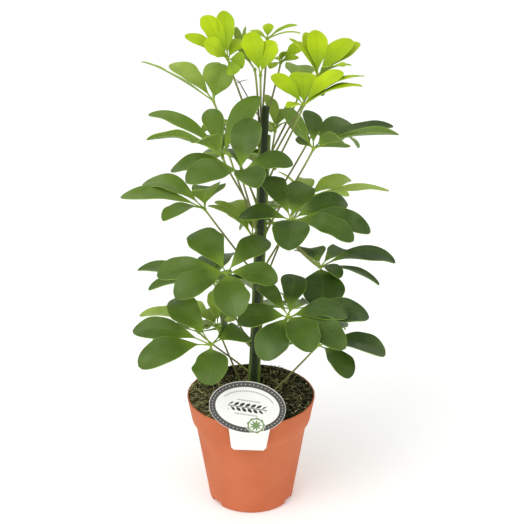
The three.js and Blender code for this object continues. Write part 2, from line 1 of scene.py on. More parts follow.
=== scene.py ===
"""Looks of a potted umbrella plant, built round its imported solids.

Everything is in metres in the solids' own frame: +Z up, the viewer towards -Y and the origin in the middle
of the pot's underside. The leaves, stems, stake, pot and soil are finer pieces that keep the form of the
solids they stand for, and the plant label is its own solid with a printed finish.
"""

import logging
import math
import random
from collections.abc import Callable
from dataclasses import dataclass, field
from enum import Enum

import bpy
import numpy as np
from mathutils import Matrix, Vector, noise


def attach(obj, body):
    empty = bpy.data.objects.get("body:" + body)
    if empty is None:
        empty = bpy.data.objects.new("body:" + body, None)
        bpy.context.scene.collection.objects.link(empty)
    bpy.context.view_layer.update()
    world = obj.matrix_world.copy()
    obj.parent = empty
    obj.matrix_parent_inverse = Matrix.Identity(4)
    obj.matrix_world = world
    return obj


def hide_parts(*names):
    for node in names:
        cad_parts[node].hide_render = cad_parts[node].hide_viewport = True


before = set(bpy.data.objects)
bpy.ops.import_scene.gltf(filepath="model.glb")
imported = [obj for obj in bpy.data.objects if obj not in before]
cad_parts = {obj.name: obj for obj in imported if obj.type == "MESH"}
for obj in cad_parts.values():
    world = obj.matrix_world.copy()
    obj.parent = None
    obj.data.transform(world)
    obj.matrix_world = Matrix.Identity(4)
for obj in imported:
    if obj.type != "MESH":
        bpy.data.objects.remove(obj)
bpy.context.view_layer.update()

LOG = logging.getLogger("umbrella_plant")
MM = 0.001
BODY = "root"
TURN = 2 * math.pi
Point = tuple[float, float, float]
Pair = tuple[float, float]
Colour = tuple[float, float, float, float]
WHITE: Colour = (1.0, 1.0, 1.0, 1.0)
WELD = 1e-6
COAT_ROUGHNESS = 0.3


def shade(*seen_on_screen: int) -> Colour:
    """Turns red, green and blue from 0 to 255, as seen on a screen, into the linear colour of a shader.

    The numbers are those of the standard screen curve, sRGB.
    """
    values = [channel / 255 for channel in seen_on_screen]
    return (*(v / 12.92 if v <= 0.04045 else ((v + 0.055) / 1.055) ** 2.4 for v in values), 1.0)


class Tone(Enum):
    """The greens that the leaves pass through as they grow older, named by their material slot."""

    YOUNG = "leaf_young"
    LIGHT = "leaf_light"
    GREEN = "leaf_green"
    DARK = "leaf_dark"


@dataclass(frozen=True)
class LeafFinish:
    """The colours and gloss of a leaf of one tone, and how far its base colour reaches along a blade."""

    upper: Colour
    upper_deep: Colour
    under: Colour
    vein: Colour
    base: Colour
    margin: Colour
    stalk: Colour
    # The colour of the painted highlight that shows in soft pale patches on a blade
    painted_sheen: Colour
    base_reach: float
    roughness: float
    coat: float
    gloss: float


LEAF_FINISHES = {
    Tone.YOUNG: LeafFinish(
        upper=shade(178, 203, 8), upper_deep=shade(122, 156, 14), under=shade(128, 158, 34),
        vein=shade(130, 156, 14), base=shade(104, 138, 18), margin=shade(172, 198, 36),
        stalk=shade(116, 142, 40), painted_sheen=shade(180, 204, 50),
        base_reach=0.62, roughness=0.46, coat=0.0, gloss=0.16,
    ),
    Tone.LIGHT: LeafFinish(
        upper=shade(174, 197, 84), upper_deep=shade(92, 122, 34), under=shade(134, 160, 56),
        vein=shade(152, 178, 68), base=shade(118, 148, 42), margin=shade(156, 182, 64),
        stalk=shade(128, 152, 54), painted_sheen=shade(164, 188, 82),
        base_reach=0.5, roughness=0.46, coat=0.02, gloss=0.22,
    ),
    Tone.GREEN: LeafFinish(
        upper=shade(96, 124, 30), upper_deep=shade(58, 84, 18), under=shade(120, 148, 54),
        vein=shade(110, 140, 44), base=shade(130, 160, 46), margin=shade(132, 162, 54),
        stalk=shade(158, 184, 66), painted_sheen=shade(120, 144, 78),
        base_reach=0.3, roughness=0.44, coat=0.04, gloss=0.24,
    ),
    Tone.DARK: LeafFinish(
        upper=shade(89, 116, 32), upper_deep=shade(42, 66, 12), under=shade(106, 134, 52),
        vein=shade(90, 118, 38), base=shade(128, 158, 44), margin=shade(126, 156, 50),
        stalk=shade(160, 186, 68), painted_sheen=shade(106, 130, 72),
        base_reach=0.28, roughness=0.43, coat=0.05, gloss=0.24,
    ),
}


@dataclass(frozen=True)
class PetioleFinish:
    """The colours of a leaf's long stalk, from its root on the stem to the hub."""

    root: Colour = shade(126, 142, 62)
    middle: Colour = shade(116, 120, 66)
    tip: Colour = shade(144, 164, 80)


@dataclass(frozen=True)
class PlasticFinish:
    """A plastic or bark: its colour, the shade it drifts to, its specks, roughness, grain and gloss."""

    colour: Colour
    drift: Colour
    speck: Colour
    roughness: float
    grain: float
    gloss: float


TERRACOTTA = PlasticFinish(shade(199, 113, 76), shade(193, 106, 69), shade(150, 84, 56), 0.6, 0.2, 0.14)
STAKE_PLASTIC = PlasticFinish(shade(38, 50, 26), shade(46, 58, 32), shade(22, 28, 16), 0.4, 0.32, 0.16)
DRY_TWIG = PlasticFinish(shade(96, 90, 72), shade(120, 112, 88), shade(70, 62, 48), 0.7, 0.8, 0.15)
STEM_BARK = PlasticFinish(shade(104, 128, 46), shade(82, 100, 40), shade(70, 74, 36), 0.5, 0.4, 0.2)


# Node sheets: short ways to write a shader


def reckoning(operation: str, swapped: bool = False) -> Callable[["Value", object], "Value"]:
    """Makes the method behind a sign of arithmetic.

    Args:
        operation: The Math node's operation.
        swapped: Whether the other number comes first.

    Returns:
        The method.
    """

    def work(self: "Value", other: object) -> "Value":
        """Adds the Math node for this value and the other."""
        return self.sheet.math(operation, *((other, self) if swapped else (self, other)))

    return work


class Value:
    """A node's output on a sheet. Arithmetic on it adds Math nodes."""

    __add__ = __radd__ = reckoning("ADD")
    __sub__, __rsub__ = reckoning("SUBTRACT"), reckoning("SUBTRACT", swapped=True)
    __mul__ = __rmul__ = reckoning("MULTIPLY")
    __truediv__ = reckoning("DIVIDE")
    __pow__ = reckoning("POWER")
    at_least, at_most = reckoning("MAXIMUM"), reckoning("MINIMUM")
    arctan2 = reckoning("ARCTAN2")
    __gt__ = reckoning("GREATER_THAN")
    __lt__ = reckoning("LESS_THAN")

    def __init__(self, sheet: "Sheet", socket: bpy.types.NodeSocket) -> None:
        """Ties an output to its sheet."""
        self.sheet, self.socket = sheet, socket

    def __abs__(self) -> "Value":
        """Drops the sign."""
        return self.sheet.math("ABSOLUTE", self)

    def span(self, low: float, high: float) -> "Value":
        """Adds a smooth step.

        Args:
            low: Where the step is 0.
            high: Where the step is 1, above or below low.

        Returns:
            The step.
        """
        ends = {"From Min": min(low, high), "From Max": max(low, high)}
        ends |= {"To Min": float(low > high), "To Max": float(low < high)}
        node = self.sheet.add("ShaderNodeMapRange", {0: self, **ends}, interpolation_type="SMOOTHSTEP")
        return Value(self.sheet, node.outputs[0])

    def beat(self) -> "Value":
        """Runs from -0.5 to 0.5 over each unit."""
        return self.sheet.math("FRACT", self) - 0.5


class Sheet:
    """The node tree of a material or a group, with short ways to add and join its nodes."""

    def __init__(self, owner: bpy.types.Material | None, tree: bpy.types.NodeTree) -> None:
        """Empties the tree that the nodes go into, and keeps the material that owns it, if one does."""
        self.owner, self.tree = owner, tree
        tree.nodes.clear()

    def add(self, kind: str, feeds: dict | None = None, **settings: object) -> bpy.types.Node:
        """Adds a node.

        Args:
            kind: The node's type name.
            feeds: What its inputs take: a value of this sheet to link, or a plain one to set.
            settings: Properties to set on it.

        Returns:
            The new node.
        """
        node = self.tree.nodes.new(kind)
        for key, setting in settings.items():
            setattr(node, key, setting)
        for key, source in (feeds or {}).items():
            if isinstance(source, Value):
                self.tree.links.new(source.socket, node.inputs[key])
            else:
                node.inputs[key].default_value = source
        return node

    def math(self, operation: str, *values: object) -> Value:
        """Works out one operation on values or numbers."""
        node = self.add("ShaderNodeMath", dict(enumerate(values)), operation=operation)
        return Value(self, node.outputs[0])

    def mix(self, factor: object, first: object, second: object) -> Value:
        """Mixes two colours, the first at a factor of 0 and the second at 1."""
        # The node's inputs 6 and 7 and its output 2 are its colours, whose names its other inputs share
        node = self.add("ShaderNodeMix", {0: factor, 6: first, 7: second}, data_type="RGBA")
        return Value(self, node.outputs[2])

    def speckle(self, vector: Value, scale: float, detail: float = 4.0) -> Value:
        """Reads a noise with so many features to a metre and so many octaves."""
        node = self.add("ShaderNodeTexNoise", {"Vector": vector, "Scale": scale, "Detail": detail})
        return Value(self, node.outputs["Fac"])

    def blotch(self, vector: Value, scale: float, detail: float, low: float, high: float) -> Value:
        """Reads a noise through a smooth step from low to high."""
        return self.speckle(vector, scale, detail).span(low, high)

    def place(self, kind: str = "Object") -> Value:
        """Reads a piece's own coordinates, Object or UV."""
        return Value(self, self.add("ShaderNodeTexCoord").outputs[kind])

    def tint(self) -> Value:
        """Reads a piece's tint attribute."""
        return Value(self, self.add("ShaderNodeAttribute", attribute_name="tint").outputs["Fac"])

    def split(self, vector: Value) -> list[Value]:
        """Gives the three numbers of a vector."""
        return [Value(self, socket) for socket in self.add("ShaderNodeSeparateXYZ", {0: vector}).outputs]

    def group(self, tree: bpy.types.NodeTree, **feeds: object) -> list[Value]:
        """Adds a node group and gives its outputs in order."""
        return [Value(self, socket) for socket in self.add("ShaderNodeGroup", feeds, node_tree=tree).outputs]

    def bump(self, height: Value, distance: float, strength: float = 1.0) -> Value:
        """Turns a height, of which 1 stands for a distance in metres, into a normal."""
        node = self.add("ShaderNodeBump", {"Strength": strength, "Distance": distance, "Height": height})
        return Value(self, node.outputs["Normal"])

    def grain(self, distance: float = 0.2 * MM, strength: float = 0.4, scale: float = 900.0) -> Value:
        """Gives the normal of a fine even grain."""
        return self.bump(self.speckle(self.place(), scale), distance, strength)

    def surface(
        self, colour: object, roughness: object, normal: object = (0, 0, 0), coat: float = 0.0,
        gloss: float = 0.3, glow: float = 0.0,
    ) -> bpy.types.Material:
        """Adds the Principled shader and the output, which finish a material.

        Args:
            colour: The base colour.
            roughness: The roughness.
            normal: The normal, or none for the mesh's own.
            coat: How much clear coat there is.
            gloss: How strongly the bare surface reflects.
            glow: How strongly it shines white.

        Returns:
            The material.
        """
        shader = self.add("ShaderNodeBsdfPrincipled", {
            "Base Color": colour, "Roughness": roughness, "Normal": normal, "Specular IOR Level": gloss,
            "Coat Weight": coat, "Coat Roughness": COAT_ROUGHNESS, "Emission Color": WHITE,
            "Emission Strength": glow,
        })
        self.add("ShaderNodeOutputMaterial", {"Surface": Value(self, shader.outputs["BSDF"])})
        return self.owner


def new_sheet(name: str) -> Sheet:
    """Makes a material.

    Args:
        name: The material's name.

    Returns:
        The sheet that its nodes go on.
    """
    material = bpy.data.materials.new(name)
    material.use_nodes = True
    return Sheet(material, material.node_tree)


def group_of(name: str, inputs: dict[str, str], draw: Callable[..., dict[str, Value]]) -> bpy.types.NodeTree:
    """Builds a node group.

    Args:
        name: The group's name.
        inputs: The name and the kind, Vector or Float, of each input.
        draw: Takes the group's sheet and its inputs, and gives its outputs by name.

    Returns:
        The node group.
    """
    group = bpy.data.node_groups.new(name, "ShaderNodeTree")
    for socket, kind in inputs.items():
        group.interface.new_socket(socket, in_out="INPUT", socket_type=f"NodeSocket{kind}")
    sheet = Sheet(None, group)
    given = sheet.add("NodeGroupInput").outputs
    outputs = draw(sheet, *(Value(sheet, given[socket]) for socket in inputs))
    for socket in outputs:
        group.interface.new_socket(socket, in_out="OUTPUT", socket_type="NodeSocketFloat")
    sheet.add("NodeGroupOutput", outputs)
    return group


@dataclass(frozen=True)
class VeinPattern:
    """Where a blade's lines run on its UV map. A pair is where a step is 0 and where it is 1."""

    veins: float = 11.0
    sweep: float = 2.1
    sweep_power: float = 1.15
    midrib: Pair = (0.055, 0.015)
    line: Pair = (0.4, 0.49)
    fade: Pair = (0.98, 0.45)
    margin: Pair = (0.945, 0.99)
    base: Pair = (1.0, 0.05)

    def group(self) -> bpy.types.NodeTree:
        """Builds the node group that all blades share."""
        return group_of("blade_veins", {"UV": "Vector", "Reach": "Float"}, self.draw)

    def draw(self, sheet: Sheet, uv: Value, reach: Value) -> dict[str, Value]:
        """Draws the lines.

        Args:
            sheet: The group's sheet.
            uv: The blade's UV map, along and across.
            reach: How far along the blade its base colour goes.

        Returns:
            The masks of the midrib, the side veins, the margin and the base.
        """
        along, across, _ = sheet.split(uv)
        off_centre = abs(across - 0.5) * 2.0
        wave = abs((along * self.veins - off_centre**self.sweep_power * self.sweep).beat())
        return {
            "Midrib": off_centre.span(*self.midrib),
            "Veins": wave.span(*self.line) * off_centre.span(*self.fade),
            "Margin": off_centre.span(*self.margin),
            "Base": (along / reach).span(*self.base),
        }


@dataclass(frozen=True)
class WearPattern:
    """A surface's slow drift of colour, its small specks and its grain.

    Each is a noise: features to a metre, octaves, and where its step is 0 and 1.
    """

    drift: tuple[float, ...] = (22.0, 5.0, 0.35, 0.7)
    specks: tuple[float, ...] = (620.0, 2.0, 0.72, 0.8)
    grain: Pair = (1500.0, 3.0)

    def group(self) -> bpy.types.NodeTree:
        """Builds the node group that the pot, the stake and the stems share."""
        return group_of("surface_wear", {"Place": "Vector"}, self.draw)

    def draw(self, sheet: Sheet, place: Value) -> dict[str, Value]:
        """Draws the wear.

        Args:
            sheet: The group's sheet.
            place: Where on the piece it is read.

        Returns:
            The masks of the drift and the specks, and the grain's height.
        """
        return {
            "Drift": sheet.blotch(place, *self.drift),
            "Specks": sheet.blotch(place, *self.specks),
            "Grain": sheet.speckle(place, *self.grain),
        }


# Materials


@dataclass(frozen=True)
class LeafPaint:
    """Makes the materials of a leaf: upper side, underside, cut margin, leaflet stalks and petiole.

    The shares say how strongly each thing shows in a blade's colour, relief or roughness. Drift, patches,
    pores and stalk drift are noises: features to a metre, octaves, and where their step is 0 and 1. The
    patches are where the painted highlight shows in soft pale blotches.
    """

    drift: tuple[float, ...] = (55.0, 3.0, 0.3, 0.75)
    patches: tuple[float, ...] = (34.0, 1.0, 0.5, 0.68)
    pores: Pair = (260.0, 3.0)
    stalk_drift: tuple[float, ...] = (70.0, 2.0, 0.35, 0.7)
    root_to_middle: Pair = (0.0, 0.4)
    middle_to_tip: Pair = (0.55, 1.0)
    # Each side's shares of its veins' own colour and of its painted highlight
    upper_shares: Pair = (0.12, 0.3)
    under_shares: Pair = (0.25, 0.1)
    drift_share: float = 0.25
    tint_share: float = 0.85
    base_share: float = 0.7
    rib_gain: float = 2.2
    margin_share: float = 0.45
    pore_share: float = 0.8
    vein_relief: float = 0.5
    relief: Pair = (0.3 * MM, 0.55)
    dulling: float = 0.12
    stalk_roughness: float = 0.5
    made: dict[Tone, list[bpy.types.Material]] = field(default_factory=dict)
    veins: bpy.types.NodeTree = field(default_factory=VeinPattern().group)

    def of(self, tone: Tone) -> list[bpy.types.Material]:
        """Gives a tone's materials, made when first asked for.

        Args:
            tone: The leaf's tone.

        Returns:
            The upper, under, margin and stalk materials.
        """
        if tone not in self.made:
            finish = LEAF_FINISHES[tone]
            name = tone.value
            self.made[tone] = [
                self.blade(f"{name}_upper", finish, finish.upper, finish.upper_deep, self.upper_shares),
                self.blade(f"{name}_under", finish, finish.under, finish.under, self.under_shares),
                self.plain(f"{name}_margin", finish.margin, finish.under),
                self.plain(f"{name}_stalk", finish.stalk, finish.vein),
            ]
        return self.made[tone]

    def blade(
        self, name: str, finish: LeafFinish, colour: Colour, deep: Colour, shares: Pair
    ) -> bpy.types.Material:
        """Makes one side of a blade.

        Args:
            name: The material's name.
            finish: The tone's finish.
            colour: The side's main colour.
            deep: The colour that it drifts to.
            shares: How strongly the veins' own colour and the soft pale patches of painted highlight show.

        Returns:
            The material.
        """
        sheet = new_sheet(name)
        vein_share, painted_sheen = shares
        midrib, veins, margin, base = sheet.group(self.veins, UV=sheet.place("UV"), Reach=finish.base_reach)
        place = sheet.place()
        drift = sheet.blotch(place, *self.drift)
        # The tint holds each leaflet's own deepening and its painted shade
        depth = drift * self.drift_share + sheet.tint() * self.tint_share
        body = sheet.mix(depth.at_most(1.0), colour, deep)
        # Painted highlight: soft pale patches of the tone's highlight colour mixed into the blade
        body = sheet.mix(sheet.blotch(place, *self.patches) * painted_sheen, body, finish.painted_sheen)
        rib = (midrib * (self.rib_gain * vein_share)).at_most(1.0)
        for share, colour in (
            (veins * vein_share, finish.vein), (base * self.base_share, finish.base),
            (rib, finish.vein), (margin * self.margin_share, finish.margin),
        ):
            body = sheet.mix(share, body, colour)
        relief = sheet.speckle(place, *self.pores) * self.pore_share - (midrib + veins * self.vein_relief)
        rough = drift * self.dulling + finish.roughness
        return sheet.surface(body, rough, sheet.bump(relief, *self.relief), finish.coat, finish.gloss)

    def petiole(self, finish: PetioleFinish) -> bpy.types.Material:
        """Makes the finish of the long stalks, which changes from root to hub.

        Args:
            finish: The colours along a petiole.

        Returns:
            The material.
        """
        sheet = new_sheet("petiole")
        along = sheet.tint()
        body = sheet.mix(along.span(*self.root_to_middle), finish.root, finish.middle)
        body = sheet.mix(along.span(*self.middle_to_tip), body, finish.tip)
        return sheet.surface(body, self.stalk_roughness, sheet.grain())

    def plain(self, name: str, colour: Colour, other: Colour) -> bpy.types.Material:
        """Makes the finish of a margin or a stalk.

        Args:
            name: The material's name.
            colour: Its main colour.
            other: The colour that it drifts to.

        Returns:
            The material.
        """
        sheet = new_sheet(name)
        drift = sheet.blotch(sheet.place(), *self.stalk_drift)
        return sheet.surface(sheet.mix(drift, colour, other), self.stalk_roughness, sheet.grain())


@dataclass(frozen=True)
class PlasticPaint:
    """Makes the finishes of the pot, the stake and the stems."""

    speck_share: float = 0.35
    dulling: float = 0.1
    relief: float = 0.2 * MM
    wear: bpy.types.NodeTree = field(default_factory=WearPattern().group)

    def of(self, name: str, finish: PlasticFinish) -> bpy.types.Material:
        """Makes a finish.

        Args:
            name: The material's name.
            finish: The colours, gloss and grain.

        Returns:
            The material.
        """
        sheet = new_sheet(name)
        drift, specks, grain = sheet.group(self.wear, Place=sheet.place())
        body = sheet.mix(drift, finish.colour, finish.drift)
        body = sheet.mix(specks * self.speck_share, body, finish.speck)
        rough = drift * self.dulling + finish.roughness
        return sheet.surface(body, rough, sheet.bump(grain, self.relief, finish.grain), gloss=finish.gloss)


@dataclass(frozen=True)
class EarthFinish:
    """The colours of the peat and what lies in it, and where its left side turns dry.

    Clods and fine are noises: features to a metre, octaves, and where their step is 0 and 1.
    """

    dark: Colour = shade(16, 14, 8)
    brown: Colour = shade(46, 41, 24)
    moss: Colour = shade(142, 138, 94)
    olive: Colour = shade(54, 55, 34)
    straw: Colour = shade(206, 194, 142)
    dry_side: Pair = (-10 * MM, -50 * MM)
    clods: tuple[float, ...] = (240.0, 6.0, 0.42, 0.7)
    fine: tuple[float, ...] = (900.0, 4.0, 0.55, 0.75)
    pores: Pair = (1200.0, 2.0)
    relief: float = 1 * MM
    litter_relief: Pair = (0.4 * MM, 0.7)
    fine_moss: float = 0.25
    dry_moss: float = 0.7
    roughness: float = 0.95
    litter_roughness: float = 0.92
    gloss: float = 0.15

    def peat(self) -> bpy.types.Material:
        """Makes the peat's own finish.

        Returns:
            The material.
        """
        sheet = new_sheet("peat")
        place = sheet.place()
        dry = sheet.split(place)[0].span(*self.dry_side)
        clods, fine = sheet.blotch(place, *self.clods), sheet.blotch(place, *self.fine)
        body = sheet.mix(clods, self.dark, self.brown)
        body = sheet.mix(fine * self.fine_moss, body, self.moss)
        body = sheet.mix(clods * dry * self.dry_moss, body, self.moss)
        return sheet.surface(body, self.roughness, sheet.bump(clods + fine, self.relief), gloss=self.gloss)

    def litter(self, name: str, first: Colour, second: Colour) -> bpy.types.Material:
        """Makes the finish of crumbs or fibres, each with its own mix of two colours.

        Args:
            name: The material's name.
            first: The colour of a piece with a tint of 0.
            second: The colour of a piece with a tint of 1.

        Returns:
            The material.
        """
        sheet = new_sheet(name)
        grain = sheet.speckle(sheet.place(), *self.pores)
        body = sheet.mix(sheet.tint(), first, second)
        normal = sheet.bump(grain, *self.litter_relief)
        return sheet.surface(body, self.litter_roughness, normal, gloss=self.gloss)


# The bench: modelling moves that several pieces share


def link(name: str, data: bpy.types.ID) -> bpy.types.Object:
    """Puts a new object with its mesh, curve, light or camera into the scene."""
    bpy.context.scene.collection.objects.link(thing := bpy.data.objects.new(name, data))
    return thing


def pick(*things: bpy.types.Object) -> None:
    """Selects these objects alone and makes the first one active.

    Args:
        things: The objects.
    """
    bpy.ops.object.select_all(action="DESELECT")
    for thing in things:
        thing.select_set(True)
    bpy.context.view_layer.objects.active = things[0]


def fresh(add: Callable[..., object], **sizes: object) -> bpy.types.Object:
    """Adds a primitive with everything else deselected.

    Args:
        add: The operator that adds it.
        sizes: Its sizes and its place.

    Returns:
        The new object.
    """
    bpy.ops.object.select_all(action="DESELECT")
    add(**sizes)
    return bpy.context.view_layer.objects.active


def fuse(things: list[bpy.types.Object], name: str) -> bpy.types.Object:
    """Joins objects into the first one.

    Args:
        things: The objects.
        name: The joined object's name.

    Returns:
        The joined object.
    """
    pick(*things)
    if len(things) > 1:
        bpy.ops.object.join()
    things[0].name = things[0].data.name = name
    return things[0]


def apply_all(thing: bpy.types.Object) -> bpy.types.Object:
    """Applies an object's modifiers and its own place, turn and scale.

    Args:
        thing: The object.

    Returns:
        The same object.
    """
    pick(thing)
    for modifier in list(thing.modifiers):
        bpy.ops.object.modifier_apply(modifier=modifier.name)
    bpy.ops.object.transform_apply(location=True, rotation=True, scale=True)
    return thing


def tint_points(mesh: bpy.types.Mesh, values: list[float] | np.ndarray) -> None:
    """Writes a mesh's tint attribute, one value to a point."""
    mesh.attributes.new("tint", "FLOAT", "POINT").data.foreach_set("value", values)


def soften(thing: bpy.types.Object, degrees: float) -> None:
    """Shades an object smooth, apart from edges sharper than an angle."""
    pick(thing)
    bpy.ops.object.shade_smooth_by_angle(angle=math.radians(degrees))


def in_order(thing: bpy.types.Object) -> bpy.types.Object:
    """Puts a mesh's corners and faces in an order that is the same in every run.

    Args:
        thing: The mesh object, not yet smoothed or dressed.

    Returns:
        The same object.
    """
    mixed, mesh = thing.data, bpy.data.meshes.new(thing.name)
    corners = sorted((tuple(vertex.co), vertex.index) for vertex in mixed.vertices)
    place_of = {index: place for place, (_, index) in enumerate(corners)}
    faces = sorted([place_of[vertex] for vertex in polygon.vertices] for polygon in mixed.polygons)
    mesh.from_pydata([corner for corner, _ in corners], [], faces)
    thing.data = mesh
    bpy.data.meshes.remove(mixed)
    return thing


def spin(name: str, profile: list[Pair], steps: int) -> bpy.types.Object:
    """Turns a profile round the Z axis into a closed piece.

    Args:
        name: The piece's name.
        profile: Radius and height of each corner, from axis to axis.
        steps: How many segments the full turn has.

    Returns:
        The turned piece.
    """
    mesh = bpy.data.meshes.new(name)
    corners = [(radius, 0.0, height) for radius, height in profile]
    mesh.from_pydata(corners, [(i, i + 1) for i in range(len(corners) - 1)], [])
    thing = link(name, mesh)
    pick(thing)
    bpy.ops.object.mode_set(mode="EDIT")
    bpy.ops.mesh.select_all(action="SELECT")
    bpy.ops.mesh.spin(steps=steps, angle=TURN, center=(0, 0, 0), axis=(0, 0, 1))
    bpy.ops.mesh.select_all(action="SELECT")
    bpy.ops.mesh.remove_doubles(threshold=WELD)
    bpy.ops.mesh.normals_make_consistent(inside=False)
    bpy.ops.object.mode_set(mode="OBJECT")
    return in_order(thing)


def carve(thing: bpy.types.Object, tool: bpy.types.Object, operation: str) -> None:
    """Joins, cuts or intersects an object with a tool, which is then removed.

    Args:
        thing: The object that is changed.
        tool: The object that changes it.
        operation: UNION, DIFFERENCE or INTERSECT.
    """
    modifier = thing.modifiers.new("carve", "BOOLEAN")
    modifier.operation, modifier.solver, modifier.object = operation, "EXACT", tool
    pick(thing)
    bpy.ops.object.modifier_apply(modifier=modifier.name)
    bpy.data.objects.remove(tool)


@dataclass
class Run:
    """A tube's route: its points and its radius at each."""

    points: np.ndarray
    radii: np.ndarray


def tubes(name: str, runs: list[Run], resolution: int) -> bpy.types.Object:
    """Makes round tubes with closed ends along their routes.

    Args:
        name: The object's name.
        runs: The routes.
        resolution: How finely the round section is divided.

    Returns:
        The tubes as one mesh object.
    """
    curve = bpy.data.curves.new(name, "CURVE")
    curve.dimensions, curve.use_fill_caps = "3D", True
    curve.bevel_depth, curve.bevel_resolution = 1.0, resolution
    for run in runs:
        spline = curve.splines.new("POLY")
        spline.points.add(len(run.points) - 1)
        spline.points.foreach_set("co", np.column_stack([run.points, np.ones(len(run.points))]).ravel())
        spline.points.foreach_set("radius", run.radii)
    pick(link(name, curve))
    bpy.ops.object.convert(target="MESH")
    return bpy.context.view_layer.objects.active


def wear(thing: bpy.types.Object, *materials: bpy.types.Material) -> bpy.types.Object:
    """Gives an object its materials in place of any it had.

    Args:
        thing: The object.
        materials: The materials, in slot order.

    Returns:
        The same object.
    """
    thing.data.materials.clear()
    for material in materials:
        thing.data.materials.append(material)
    return thing


def settle(piece: bpy.types.Object, slot: str, *nodes: str) -> None:
    """Fixes a finished piece to the plant's body and hides the solids that it replaces.

    Args:
        piece: The finished piece.
        slot: The name of the material slot that its finish stands for; not used.
        nodes: The solids that it replaces.
    """
    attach(piece, BODY)
    if nodes:
        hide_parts(*nodes)
    LOG.info("%s: %d faces", piece.name, len(piece.data.polygons))


# Stake and stems


@dataclass(frozen=True)
class Stake:
    """The support stake, which leans a little to the right."""

    radius: float = 3.0 * MM
    foot: float = 22 * MM
    top: float = 396 * MM
    at_y: float = -1 * MM
    x_at_soil: float = 2 * MM
    soil_level: float = 108 * MM
    lean: float = 0.041
    sides: int = 40
    edge_round: float = 0.6 * MM
    edge_steps: int = 3
    crease: float = 35.0

    def at(self, height: float) -> np.ndarray:
        """Gives the middle of the stake at a height above the ground."""
        return np.array([self.x_at_soil + self.lean * (height - self.soil_level), self.at_y, height])

    def build(self, paint: PlasticPaint) -> None:
        """Models the stake.

        Args:
            paint: The maker of plastic finishes.
        """
        low, high = Vector(self.at(self.foot)), Vector(self.at(self.top))
        rod = fresh(
            bpy.ops.mesh.primitive_cylinder_add, vertices=self.sides, radius=self.radius,
            depth=(high - low).length, location=(low + high) / 2,
            rotation=(high - low).to_track_quat("Z", "Y").to_euler(),
        )
        rod.name = rod.data.name = "support_stake"
        bevel = rod.modifiers.new("ends", "BEVEL")
        bevel.width, bevel.segments, bevel.limit_method = self.edge_round, self.edge_steps, "ANGLE"
        soften(apply_all(rod), self.crease)
        settle(wear(rod, paint.of("stake_plastic", STAKE_PLASTIC)), "stake", "stake")


@dataclass(frozen=True)
class Stem:
    """A stem tied to the stake: its place beside it, thickness, foot and top."""

    name: str
    dx: float
    y: float
    top: float
    radius: float = 2.3 * MM
    foot: float = 50 * MM
    steps: int = 60
    roundness: int = 6
    joints: int = 13
    swelling: float = 0.14
    swelling_power: int = 6
    swelling_shift: float = 3.0
    taper: float = 0.12
    twig: Point | None = None
    twig_forks: tuple[Point, ...] = (
        (-3.4 * MM, 2.4 * MM, 0), (-3.8 * MM, -1.6 * MM, 0), (7.6 * MM, 1.9 * MM, 0)
    )
    twig_steps: int = 9
    twig_roundness: int = 2
    twig_radius: float = 0.55 * MM
    fork_radius: float = 0.45 * MM
    fork_sag: float = 0.22
    fork_taper: float = 0.5
    crease: float = 60.0

    def at(self, height: float) -> np.ndarray:
        """Gives the middle of the stem at a height above the ground."""
        return STAKE.at(height) + np.array([self.dx, self.y - STAKE.at_y, 0.0])

    def dry_twig(self, foot: np.ndarray, paint: bpy.types.Material) -> bpy.types.Object:
        """Models the thin dried stalk at the top of the stem, forked at its end.

        Args:
            foot: Where it grows from the stem.
            paint: Its material.

        Returns:
            The twig, to be joined to the stem.
        """
        tip = foot + seen(*self.twig)
        share = np.linspace(0, 1, self.twig_steps)[:, None]
        runs = [Run(foot + share * (tip - foot), np.full(self.twig_steps, self.twig_radius))]
        for fork in self.twig_forks:
            sag = self.fork_sag * np.linalg.norm(fork) * share * (1 - share) * seen(0, 1, 0)
            radii = self.fork_radius * (1 - self.fork_taper * share[:, 0])
            runs.append(Run(tip + share * seen(*fork) + sag, radii))
        return wear(tubes("dry_twig", runs, self.twig_roundness), paint)

    def build(self, paint: bpy.types.Material, dry: bpy.types.Material) -> None:
        """Models the stem with the slight swellings where leaves once grew.

        Args:
            paint: The bark's material.
            dry: The dried twig's material.
        """
        heights = np.linspace(self.foot, self.top, self.steps)
        share = (heights - self.foot) / (self.top - self.foot)
        shift = self.swelling_shift * self.dx / MM
        ring = np.maximum(0.0, np.cos(TURN * self.joints * share + shift)) ** self.swelling_power
        radii = self.radius * (1 - self.taper * share + self.swelling * ring)
        points = np.array([self.at(height) for height in heights])
        rod = wear(tubes(f"{self.name}_bark", [Run(points, radii)], self.roundness), paint)
        if self.twig:
            rod = fuse([rod, self.dry_twig(points[-2], dry)], rod.name)
        soften(rod, self.crease)
        settle(rod, "stem", self.name)


STAKE = Stake()
STEMS = {
    "left": Stem("stem_left", -2.8 * MM, 4.8 * MM, 384 * MM, twig=(-20 * MM, 35.5 * MM, 4 * MM)),
    "right": Stem("stem_right", 3.6 * MM, 4.8 * MM, 366 * MM),
    "back": Stem("stem_back", 0.4 * MM, 11 * MM, 388 * MM),
}


# Leaves

VIEW_TILT = math.radians(25.4)


def seen(right: float, up: float, towards: float) -> np.ndarray:
    """Turns a direction read in the front view into the plant's frame."""
    sine, cosine = math.sin(VIEW_TILT), math.cos(VIEW_TILT)
    return np.array([right, up * sine - towards * cosine, up * cosine + towards * sine])


def unit(vector: np.ndarray) -> np.ndarray:
    """Gives a vector's direction, with a length of 1."""
    return vector / np.linalg.norm(vector)


